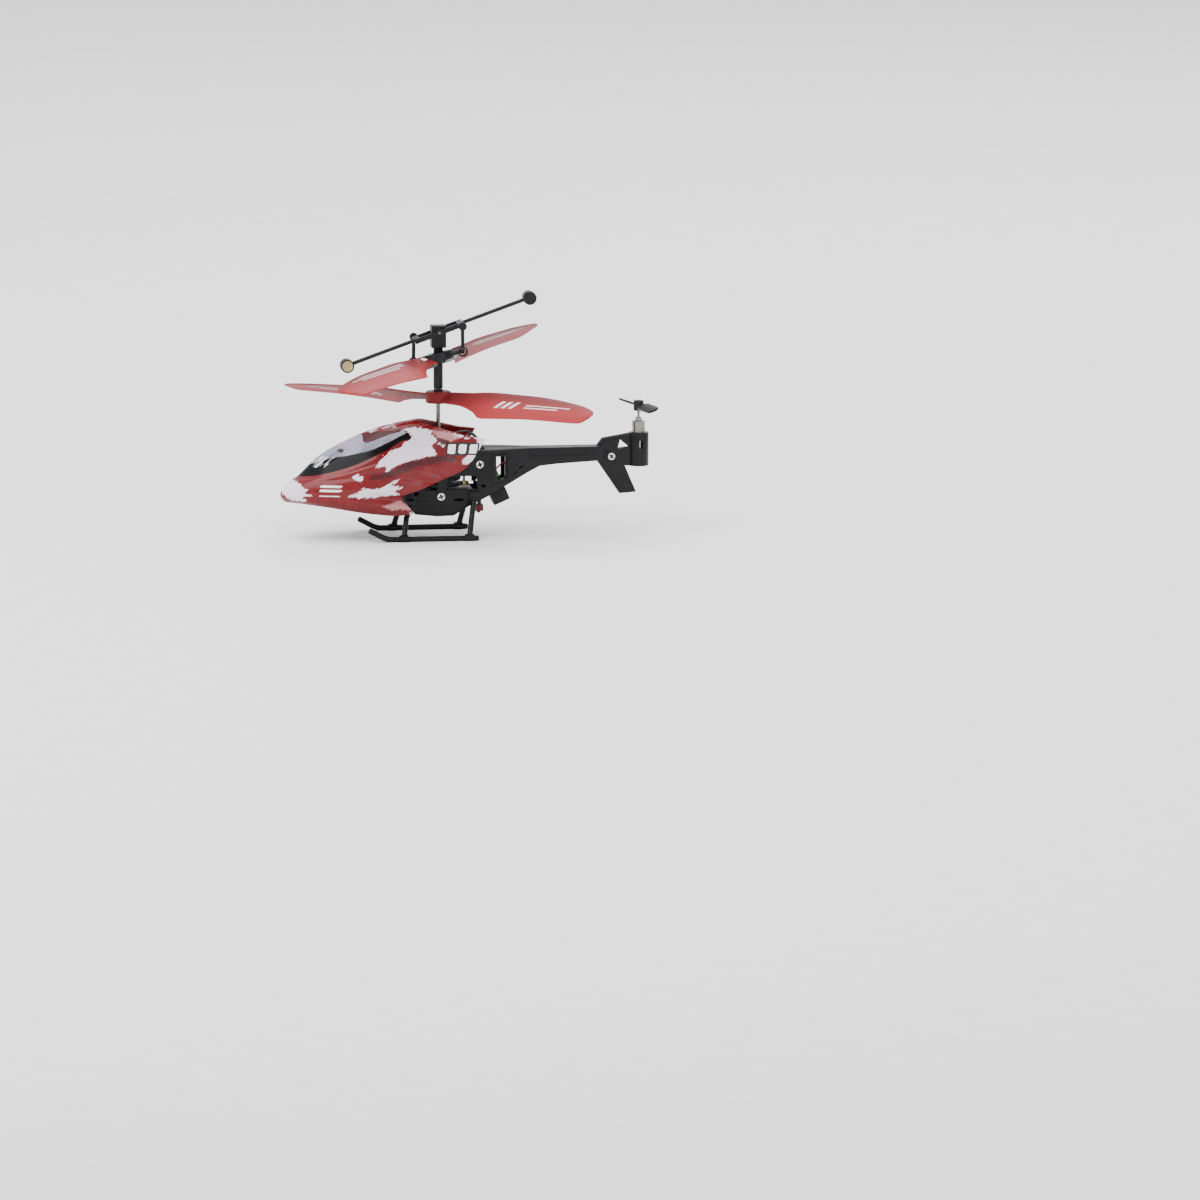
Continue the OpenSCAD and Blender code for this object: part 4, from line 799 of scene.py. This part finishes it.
def blade_mesh(bm, layers, lead, root, thickness, turn_matrix):
    """Add one blade along +X to a bmesh, with the fields for its printed bars and thin edges."""
    span_at, chord_at, edge_light = layers
    stations = smooth_points([Vector(p) for p in BLADE_STATIONS], 7)
    stretch = (BLADE_TIP - ROOT_END) / (BLADE_STATIONS[-1][0] - ROOT_END)
    rows = [s for s in stations if s[0] >= root]
    chord_steps = 24
    sheets = []
    for side in (1, -1):
        sheet = []
        for s in rows:
            radius = s[0] if s[0] <= ROOT_END else ROOT_END + (s[0] - ROOT_END) * stretch
            pitch = math.radians(s[3])
            camber = BLADE_CAMBER * min(1.0, max(0.0, (radius - 12) / 10))
            line = []
            for k in range(chord_steps + 1):
                f = 0.5 - 0.5 * math.cos(math.pi * k / chord_steps)
                chord = s[1] + s[2]
                across = s[1] - chord * f
                edge = min(f, 1 - f)
                half = thickness / 2 * min(1.0, 0.28 + 2.2 * math.sqrt(edge) * (1 - 0.55 * math.sqrt(edge)))
                tip = min(1.0, 0.4 + (rows[-1][0] - s[0]) / 2.0)
                bow = camber * chord * 2 * f * (1 - f) + side * half * tip
                y = lead * (across * math.cos(pitch) - bow * math.sin(pitch))
                z = across * math.sin(pitch) + bow * math.cos(pitch)
                v = bm.verts.new(turn_matrix @ Vector((radius, y, z)))
                v[span_at], v[chord_at] = radius, across
                near_edge = min(chord * edge, max(0.0, rows[-1][0] - s[0]) + 0.3)
                v[edge_light] = max(0.0, 1.0 - near_edge / 1.3)
                line.append(v)
            sheet.append(line)
        sheets.append(sheet)
    top, under = sheets
    last_i, last_j = len(rows) - 1, chord_steps

    def quad(a, b, c, d):
        bm.faces.new((a, b, c, d) if lead > 0 else (d, c, b, a))

    for i in range(last_i):
        for j in range(last_j):
            quad(top[i][j + 1], top[i + 1][j + 1], top[i + 1][j], top[i][j])
            quad(under[i][j], under[i + 1][j], under[i + 1][j + 1], under[i][j + 1])
        quad(top[i][0], top[i + 1][0], under[i + 1][0], under[i][0])
        quad(under[i][last_j], under[i + 1][last_j], top[i + 1][last_j], top[i][last_j])
    for j in range(last_j):
        quad(top[0][j], under[0][j], under[0][j + 1], top[0][j + 1])
        quad(top[last_i][j + 1], under[last_i][j + 1], under[last_i][j], top[last_i][j])


def ring_into(bm, inner, outer, low, high, steps=64, turn_matrix=Matrix.Identity(4), bevel=0.25):
    """Add a ring about Z with rounded corners, in millimetres."""
    profile = [(inner, low), (outer - bevel, low), (outer, low + bevel), (outer, high - bevel),
               (outer - bevel, high), (inner + bevel / 2, high), (inner, high - bevel / 2)]
    loops = []
    for k in range(steps):
        a = 2 * math.pi * k / steps
        loops.append([bm.verts.new(turn_matrix @ Vector((r * math.cos(a), r * math.sin(a), z)))
                      for r, z in profile])
    for k in range(steps):
        one, two = loops[k], loops[(k + 1) % steps]
        for p in range(len(profile)):
            q = (p + 1) % len(profile)
            bm.faces.new((one[p], two[p], two[q], one[q]))


def joint_axis(name):
    for joint in frame["record"]["behaviour"]["joints"]:
        if joint["name"] == name:
            return Vector(joint["axis"]), Vector(joint.get("pos_m", (0.0, 0.0, 0.0)))
    raise ValueError("no joint called " + name)


LOWER_TURN = math.radians(141.0)
FLYBAR_REST = math.radians(19.5)


# Radius at which the blades of each rotor start, in millimetres
LOWER_ROOT = 3.4
UPPER_ROOT = 5.6


class HELI_OT_rotors(bpy.types.Operator):
    """Loft both main rotors in translucent plastic"""
    bl_idname = "helicopter.rotors"
    bl_label = "Main rotors"

    def execute(self, context):
        thickness = context.scene.heli_sizes.blade_thickness / MM
        boss_half = 1.9
        hub_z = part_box("lower_hub")[0][2] / MM + boss_half
        piece = self.rotor("lower_rotor_moulding", 1, LOWER_ROOT, thickness, Matrix.Translation((0.0, 0.0, hub_z))
                           @ Matrix.Rotation(LOWER_TURN, 4, "Z"), ring=(1.6, 4.2, boss_half))
        settle(piece, "outer_drive", material("lower_rotor"), ["lower_blades"])

        span, hinge = joint_axis("rotor_feather")
        teeter, _ = joint_axis("rotor_teeter")
        x_axis = span.normalized()
        y_axis = (teeter - x_axis * teeter.dot(x_axis)).normalized()
        basis = Matrix((x_axis, y_axis, x_axis.cross(y_axis))).transposed().to_4x4()
        feather = FLYBAR_REST * coupling_ratio("rotor_feather")
        place = (Matrix.Translation((0.0, 0.0, hinge.z / MM)) @ basis @ Matrix.Rotation(feather, 4, "X"))
        piece = self.rotor("upper_rotor_moulding", -1, UPPER_ROOT, thickness, place)
        settle(piece, "upper_rotor", material("upper_rotor"), ["upper_blades"])
        return {"FINISHED"}

    @staticmethod
    def rotor(name, lead, root, thickness, place, ring=None):
        bm = bmesh.new()
        layers = [bm.verts.layers.float.new(key) for key in ("span_at", "chord_at", "edge_light")]
        for half_turn in (0.0, math.pi):
            blade_mesh(bm, layers, lead, root, thickness, place @ Matrix.Rotation(half_turn, 4, "Z"))
        if ring:
            ring_into(bm, ring[0], ring[1], -ring[2], ring[2], 72, place)
        bm.normal_update()
        mesh = bpy.data.meshes.new(name)
        bm.to_mesh(mesh)
        bm.free()
        return piece_from_mesh(name, to_frame(mesh), 45.0)


def coupling_ratio(joint):
    for coupling in frame["record"]["behaviour"]["couplings"]:
        if coupling["joint"] == joint:
            return coupling["ratio"]
    raise ValueError("no coupling moves " + joint)


# ---------------------------------------------------------------- moulded and metal parts

MOULDED = {
    "frame_left": ("frame", 1.0), "frame_right": ("frame", 1.0), "front_tongue": ("frame", 1.0),
    "tail_fin": ("frame", 1.3), "charge_socket": ("frame", 1.2), "switch_body": ("frame", 1.2),
    "switch_slider": ("head", 1.0), "head_block": ("head", 1.6), "blade_yoke": ("head", 1.2),
    "flybar_frame": ("head", 1.2), "link_port": ("head", 1.2), "link_starboard": ("head", 1.2),
    "infrared_receiver": ("receiver", 1.4), "tail_rotor": ("head", 0.9), "battery_cell": ("foil", 3.2),
    "weight_cups": ("head", 1.0), "teeter_ring": ("head", 1.0), "mast_sleeve": ("head", 1.0),
}


class HELI_OT_moulded(bpy.types.Operator):
    """Round the edges of the moulded parts"""
    bl_idname = "helicopter.moulded"
    bl_label = "Moulded parts"

    def execute(self, context):
        width = context.scene.heli_sizes.edge_round
        for node, (key, factor) in MOULDED.items():
            piece = softened(node, width * factor)
            settle(piece, body_of(node), material(key), [node])
        return {"FINISHED"}


CARRIED = {
    "canopy_pegs": "frame", "lower_plate": "frame", "motor_plate": "plate", "lower_bush": "brass",
    "upper_bush": "brass", "front_motor": "can", "rear_motor": "can", "motor_caps": "white",
    "circuit_board": "board", "board_chips": "chip", "motor_wires": "black_wire", "tail_wires": "red_wire",
    "left_runner": "skid", "right_runner": "skid", "front_left_strut": "skid", "front_right_strut": "skid",
    "rear_left_strut": "skid", "rear_right_strut": "skid", "tail_motor": "can", "outer_shaft": "steel",
    "upper_gear": "gear", "lower_hub": "head", "inner_shaft": "steel", "lower_gear": "gear",
    "teeter_pin": "steel", "flybar_pin": "steel", "feather_pins": "steel", "flybar_rods": "head",
    "weight_slugs": "brass", "front_pinion": "brass", "front_pinion_shaft": "steel", "rear_pinion": "brass",
    "rear_pinion_shaft": "steel", "tail_shaft": "steel", "blade_screws": "screw",
}


class HELI_OT_carried(bpy.types.Operator):
    """Give the parts that keep their shape their finish"""
    bl_idname = "helicopter.carried"
    bl_label = "Carried parts"

    def execute(self, context):
        for node, key in CARRIED.items():
            slots = frame["nodes"][node].material_slots
            for slot in slots:
                slot.material = material(key)
            if not slots:
                frame["nodes"][node].data.materials.append(material(key))
        return {"FINISHED"}


# ---------------------------------------------------------------- screws and studs

def new_tree(name, inputs):
    tree = bpy.data.node_groups.new(name, "GeometryNodeTree")
    tree.interface.new_socket("Geometry", in_out="INPUT", socket_type="NodeSocketGeometry")
    for label, kind, default in inputs:
        socket = tree.interface.new_socket(label, in_out="INPUT", socket_type=kind)
        if default is not None:
            socket.default_value = default
    tree.interface.new_socket("Geometry", in_out="OUTPUT", socket_type="NodeSocketGeometry")
    return tree, tree.nodes.new("NodeGroupInput"), tree.nodes.new("NodeGroupOutput")


def link(tree, source, target):
    tree.links.new(source, target)


def finish_tree(tree, geometry, source, target):
    """End a tree in Realize Instances and Set Material."""
    realize = tree.nodes.new("GeometryNodeRealizeInstances")
    paint = tree.nodes.new("GeometryNodeSetMaterial")
    link(tree, geometry, realize.inputs[0])
    link(tree, realize.outputs[0], paint.inputs["Geometry"])
    link(tree, source.outputs["Material"], paint.inputs["Material"])
    link(tree, paint.outputs[0], target.inputs[0])


class Growth:
    """A geometry tree with short ways to add nodes to it."""

    def __init__(self, name, inputs):
        self.tree, self.source, self.target = new_tree(name, inputs)

    def node(self, kind, settings=None, **inputs):
        made = self.tree.nodes.new(kind)
        for key, value in (settings or {}).items():
            setattr(made, key, value)
        for key, value in inputs.items():
            socket = made.inputs[key.replace("_", " ")]
            if isinstance(value, bpy.types.NodeSocket):
                link(self.tree, value, socket)
            else:
                socket.default_value = value
        return made

    def math(self, operation, a, b):
        made = self.tree.nodes.new("ShaderNodeMath")
        made.operation = operation
        for socket, value in zip(made.inputs, (a, b)):
            if isinstance(value, bpy.types.NodeSocket):
                link(self.tree, value, socket)
            else:
                socket.default_value = value
        return made.outputs[0]

    def lifted(self, geometry, height):
        place = self.node("ShaderNodeCombineXYZ", Z=height).outputs[0]
        return self.node("GeometryNodeTransform", Geometry=geometry, Translation=place).outputs[0]

    def joined(self, parts):
        made = self.tree.nodes.new("GeometryNodeJoinGeometry")
        for part in parts:
            link(self.tree, part, made.inputs[0])
        return made.outputs[0]


def cross_screw_tree():
    """A cross-head screw at every point, its head standing up along +Y."""
    g = Growth("CrossHeadScrews", [
        ("Head Radius", "NodeSocketFloat", 0.00142), ("Head Height", "NodeSocketFloat", 0.0007),
        ("Recess Span", "NodeSocketFloat", 0.002), ("Recess Depth", "NodeSocketFloat", 0.0005),
        ("Turn", "NodeSocketFloat", 0.4), ("Material", "NodeSocketMaterial", None)])
    sides = 40
    source = g.source
    radius, height = source.outputs["Head Radius"], source.outputs["Head Height"]
    span, depth = source.outputs["Recess Span"], source.outputs["Recess Depth"]
    crown = g.math("MULTIPLY", radius, 0.86)
    # Cross: the five middle cells of a grid of nine
    grid = g.node("GeometryNodeMeshGrid", Size_X=span, Size_Y=span, Vertices_X=4, Vertices_Y=4)
    place = g.node("ShaderNodeSeparateXYZ", Vector=g.node("GeometryNodeInputPosition").outputs[0])
    cell = g.math("MULTIPLY", span, 0.25)
    off_x = g.math("GREATER_THAN", g.math("ABSOLUTE", place.outputs["X"], 0.0), cell)
    off_y = g.math("GREATER_THAN", g.math("ABSOLUTE", place.outputs["Y"], 0.0), cell)
    cross = g.node("GeometryNodeDeleteGeometry", {"domain": "FACE"}, Geometry=grid.outputs["Mesh"],
                   Selection=g.math("MULTIPLY", off_x, off_y)).outputs[0]
    faces_near = g.node("GeometryNodeInputMeshEdgeNeighbors").outputs[0]
    rim = g.node("FunctionNodeCompare", {"data_type": "INT", "operation": "EQUAL"})
    link(g.tree, faces_near, rim.inputs[2])
    rim.inputs[3].default_value = 1
    outline = g.node("GeometryNodeMeshToCurve", Mesh=cross, Selection=rim.outputs[0]).outputs[0]
    way_up = g.node("ShaderNodeCombineXYZ", Z=depth).outputs[0]
    recess = g.node("GeometryNodeExtrudeMesh", {"mode": "EDGES"}, Mesh=cross, Selection=rim.outputs[0],
                    Offset=way_up, Offset_Scale=1.0).outputs[0]
    recess = g.lifted(recess, g.math("SUBTRACT", height, depth))
    # Marks the recess faces, which the screw's material darkens as painted shade
    marked = g.node("GeometryNodeStoreNamedAttribute", {"domain": "FACE"}, Geometry=recess, Name="recess")
    marked.inputs["Value"].default_value = 1.0
    recess = marked.outputs[0]
    ring = g.node("GeometryNodeCurvePrimitiveCircle", Resolution=sides, Radius=crown).outputs[0]
    top = g.lifted(g.node("GeometryNodeFillCurve", Curve=g.joined((ring, outline))).outputs[0], height)
    side = g.node("GeometryNodeMeshCone", {"fill_type": "NONE"}, Vertices=sides, Radius_Top=crown,
                  Radius_Bottom=radius, Depth=height).outputs["Mesh"]
    base_ring = g.node("GeometryNodeCurvePrimitiveCircle", Resolution=sides, Radius=radius).outputs[0]
    base = g.node("GeometryNodeFillCurve", Curve=base_ring).outputs[0]
    head = g.node("GeometryNodeMergeByDistance", Geometry=g.joined((recess, top, side, base)),
                  Distance=2e-6).outputs[0]
    turned = g.node("ShaderNodeCombineXYZ", Z=source.outputs["Turn"]).outputs[0]
    head = g.node("GeometryNodeTransform", Geometry=head, Rotation=turned).outputs[0]
    stand = g.node("GeometryNodeInstanceOnPoints", Points=source.outputs["Geometry"], Instance=head,
                   Rotation=(-math.pi / 2, 0.0, 0.0))
    finish_tree(g.tree, stand.outputs["Instances"], source, g.target)
    return g.tree


def stud_tree():
    """A low round stud at every point, standing along the point's side of the frame."""
    tree, source, target = new_tree("MouldedStuds", [
        ("Radius", "NodeSocketFloat", 0.0003), ("Material", "NodeSocketMaterial", None)])
    nodes = tree.nodes
    ball = nodes.new("GeometryNodeMeshUVSphere")
    ball.inputs["Segments"].default_value = 16
    ball.inputs["Rings"].default_value = 8
    link(tree, source.outputs["Radius"], ball.inputs["Radius"])
    stand = nodes.new("GeometryNodeInstanceOnPoints")
    link(tree, source.outputs["Geometry"], stand.inputs["Points"])
    link(tree, ball.outputs["Mesh"], stand.inputs["Instance"])
    finish_tree(tree, stand.outputs["Instances"], source, target)
    return tree


def grown(name, points, tree, values):
    """The plain mesh that a tree makes on some points. Values are set by socket identifier."""
    mesh = bpy.data.meshes.new(name)
    mesh.from_pydata([Vector(p)[:] for p in points], [], [])
    obj = bpy.data.objects.new(name, mesh)
    bpy.context.scene.collection.objects.link(obj)
    modifier = obj.modifiers.new("Growth", "NODES")
    modifier.node_group = tree
    for item in tree.interface.items_tree:
        if item.in_out == "INPUT" and item.name in values:
            modifier[item.identifier] = values[item.name]
    baked(obj)
    bm = bmesh.new()
    bm.from_mesh(obj.data)
    bmesh.ops.recalc_face_normals(bm, faces=bm.faces)
    bm.to_mesh(obj.data)
    bm.free()
    obj.data.polygons.foreach_set("use_smooth", [True] * len(obj.data.polygons))
    obj.data.set_sharp_from_angle(angle=math.radians(35.0))
    return obj


class HELI_OT_screws(bpy.types.Operator):
    """Set the cross-head screws and the moulded studs"""
    bl_idname = "helicopter.screws"
    bl_label = "Screws and studs"

    def execute(self, context):
        sizes = context.scene.heli_sizes
        tree = cross_screw_tree()
        side = half_width()
        values = {"Head Radius": sizes.screw_head, "Head Height": 0.65 * MM, "Recess Span": 1.95 * MM,
                  "Recess Depth": 0.5 * MM, "Turn": 0.35, "Material": material("screw")}
        spots = [at_mast(0, side / MM, 14), at_mast(-13, side / MM, 24.6)]
        piece = grown("frame_screw_heads", spots, tree, values)
        settle(piece, "airframe", None, ["frame_screws"])
        values.update({"Head Radius": sizes.screw_head * 0.94, "Turn": 0.9, "Recess Span": 1.8 * MM})
        tail_spot = centre("tail_screw")
        tail_spot[1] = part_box("tail_screw")[1][1] - 0.7 * MM
        piece = grown("tail_screw_head", [tail_spot], tree, values)
        settle(piece, "airframe", None, ["tail_screw"])

        studs = stud_tree()
        spots = [at_mast(x, s * side / MM, z) for s in (1, -1) for x, z in
                 ((8.4, 15), (-3.4, 22.4), (4.4, 24.6), (-6.4, 25.9), (-16.4, 24.9), (-23.6, 24.4), (6.6, 9.2),
                  (-6.4, 9.6))]
        piece = grown("frame_studs", spots, studs,
                      {"Radius": sizes.stud_radius, "Material": material("frame")})
        settle(piece, "airframe", None)
        return {"FINISHED"}


def half_width():
    """Half the width of the frame's body, from the ends of the motor plate and the wall."""
    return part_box("motor_plate")[1][1] + 1.2 * MM


# ---------------------------------------------------------------- frame details

class HELI_OT_frame_details(bpy.types.Operator):
    """Add the ribs, lips and panel lines that stand on the frame's sides"""
    bl_idname = "helicopter.frame_details"
    bl_label = "Frame details"

    def execute(self, context):
        side = half_width() / MM
        boxes = []
        for s in (1, -1):
            def strip(x0, x1, z0, z1, proud, turn=0.0, at=side):
                ys = sorted((s * (at - 0.2), s * (at + proud)))
                boxes.append((at_mast(x0, ys[0], z0), at_mast(x1, ys[1], z1), turn))
            strip(-17.5, -14.0, 27.6, 28.1, 0.25)
            strip(-9.6, 11.2, 22.5, 23.0, 0.28)
            strip(-13.4, 11.4, 15.75, 16.15, 0.3)
            strip(-23.2, -16.9, 18.1, 18.5, 0.3, math.radians(20))
            strip(-12.6, -12.0, 17.0, 22.4, 0.26)
            strip(-17.6, -17.1, 19.2, 27.4, 0.26)
            strip(-22.9, -22.4, 19.8, 27.4, 0.26)
            strip(-22.9, -17.1, 27.3, 27.8, 0.26)
            strip(5.6, 6.1, 17.0, 22.4, 0.26)
        piece = rounded_boxes("hull_strips", boxes, 0.09 * MM)
        settle(piece, "airframe", material("frame"))
        piece = self.boom_rails()
        settle(piece, "airframe", material("frame"))
        return {"FINISHED"}

    @staticmethod
    def boom_rails():
        """Two rails along each side of the boom, with the groove left between them."""
        tail_end = (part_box("frame_left")[0][0] - MAST_X) / MM
        bm = bmesh.new()
        for s in (1, -1):
            for z0, z1 in ((27.35, 28.6), (25.4, 26.5)):
                # The boom's side runs inward towards the tail
                corners = []
                for x, y in ((-30.2, 3.2), (tail_end + 0.2, 2.8)):
                    for out in (-0.15, 0.22):
                        for z in (z0, z1):
                            corners.append(bm.verts.new(at_mast(x, s * (y + out), z)))
                faces = [(0, 1, 3, 2), (4, 6, 7, 5), (0, 4, 5, 1), (2, 3, 7, 6), (0, 2, 6, 4), (1, 5, 7, 3)]
                for f in faces:
                    bm.faces.new([corners[k] for k in f])
        bmesh.ops.recalc_face_normals(bm, faces=bm.faces)
        bmesh.ops.bevel(bm, geom=bm.edges[:], offset=0.08 * MM, segments=2, affect="EDGES", clamp_overlap=True)
        return piece_from_bmesh("boom_rails", bm)


# ---------------------------------------------------------------- stage

def view_axes(stage):
    """Forward, right and up of the camera."""
    flat = Vector((-math.sin(stage.turn), math.cos(stage.turn), 0.0))
    forward = flat * math.cos(stage.rise) - Vector((0.0, 0.0, math.sin(stage.rise)))
    right = forward.cross(Vector((0.0, 0.0, 1.0))).normalized()
    return forward, right, right.cross(forward)


def area_light(name, place, aim, size, power, tint=(1.0, 1.0, 1.0)):
    data = bpy.data.lights.new(name, "AREA")
    data.shape = "RECTANGLE"
    data.size, data.size_y = size
    data.energy = power
    data.color = tint
    obj = bpy.data.objects.new(name, data)
    obj.location = place
    obj.rotation_euler = (Vector(aim) - Vector(place)).to_track_quat("-Z", "Y").to_euler()
    bpy.context.scene.collection.objects.link(obj)


class HELI_OT_stage(bpy.types.Operator):
    """Set the camera, the pale table top and the soft lights"""
    bl_idname = "helicopter.stage"
    bl_label = "Stage"

    def execute(self, context):
        stage = context.scene.heli_stage
        forward, right, up = view_axes(stage)
        data = bpy.data.cameras.new("studio_camera")
        data.lens = stage.lens
        data.sensor_width = 36.0
        data.clip_start = 0.05
        data.clip_end = 60.0
        camera = bpy.data.objects.new("studio_camera", data)
        aim = at_mast(0, 0, 0) + right * stage.aside - up * stage.below
        camera.location = aim - forward * stage.distance
        camera.rotation_euler = Matrix((right, up, -forward)).transposed().to_euler()
        context.scene.collection.objects.link(camera)
        context.scene.camera = camera
        self.table_top()
        self.lights(forward, right)
        return {"FINISHED"}

    @staticmethod
    def table_top():
        """Wide pale table top that reaches past the edges of every view."""
        bm = bmesh.new()
        steps = 96
        inner = None
        for radius in (0.5, 3.0, 14.0):
            loop = [bm.verts.new((radius * math.cos(2 * math.pi * k / steps),
                                  radius * math.sin(2 * math.pi * k / steps), 0.0)) for k in range(steps)]
            if inner is None:
                bm.faces.new(loop)
            else:
                for k in range(steps):
                    n = (k + 1) % steps
                    bm.faces.new((inner[k], loop[k], loop[n], inner[n]))
            inner = loop
        table = piece_from_bmesh("paper_table", bm, None)
        table.data.materials.append(material("paper"))

    @staticmethod
    def lights(forward, right):
        middle = at_mast(-8, 0, 40)
        away = -Vector((forward.x, forward.y, 0.0)).normalized()
        top = Vector((0.0, 0.0, 1.0))
        area_light("key_softbox", middle + away * 0.7 - right * 0.75 + top * 1.15, middle, (1.5, 1.4), 30.0,
                   (1.0, 0.98, 0.96))
        area_light("overhead_softbox", middle + top * 1.25 - away * 0.25, middle, (1.3, 0.9), 11.0)
        area_light("fill_softbox", middle + away * 1.4 + right * 0.9 + top * 0.45, middle, (0.9, 0.7), 5.0,
                   (0.96, 0.98, 1.0))
        area_light("rear_softbox", middle - away * 1.1 + right * 0.4 + top * 0.8, middle, (0.9, 0.5), 7.0)
        world = bpy.data.worlds.new("studio_air")
        world.use_nodes = True
        world.node_tree.nodes["Background"].inputs["Color"].default_value = (0.93, 0.95, 1.0, 1.0)
        world.node_tree.nodes["Background"].inputs["Strength"].default_value = 1.25
        bpy.context.scene.world = world


class HELI_OT_finishes(bpy.types.Operator):
    """Mix the paints, plastics and metals"""
    bl_idname = "helicopter.finishes"
    bl_label = "Finishes"

    def execute(self, context):
        make_materials(context.scene.heli_paint)
        return {"FINISHED"}


class HELI_PT_panel(bpy.types.Panel):
    """Lists the steps in the sidebar"""
    bl_idname = "HELI_PT_panel"
    bl_label = "Helicopter"
    bl_space_type = "VIEW_3D"
    bl_region_type = "UI"
    bl_category = "Helicopter"

    def draw(self, context):
        scene = context.scene
        for group in (scene.heli_paint, scene.heli_sizes, scene.heli_stage):
            box = self.layout.box()
            for key in group.__annotations__:
                box.prop(group, key)
        for step in STEPS:
            self.layout.operator(step.bl_idname)


STEPS = (HELI_OT_finishes, HELI_OT_stage, HELI_OT_canopy, HELI_OT_window, HELI_OT_rotors,
         HELI_OT_moulded, HELI_OT_carried, HELI_OT_screws, HELI_OT_frame_details)
GROUPS = (("heli_paint", HELI_PG_paint), ("heli_sizes", HELI_PG_sizes), ("heli_stage", HELI_PG_stage))


def register():
    for key, group in GROUPS:
        bpy.utils.register_class(group)
        setattr(bpy.types.Scene, key, bpy.props.PointerProperty(type=group))
    for cls in (*STEPS, HELI_PT_panel):
        bpy.utils.register_class(cls)


def unregister():
    for cls in reversed((*STEPS, HELI_PT_panel)):
        bpy.utils.unregister_class(cls)
    for key, group in reversed(GROUPS):
        delattr(bpy.types.Scene, key)
        bpy.utils.unregister_class(group)


def main():
    register()
    for step in STEPS:
        group, name = step.bl_idname.split(".")
        getattr(getattr(bpy.ops, group), name)()


if __name__ == "__main__":
    main()
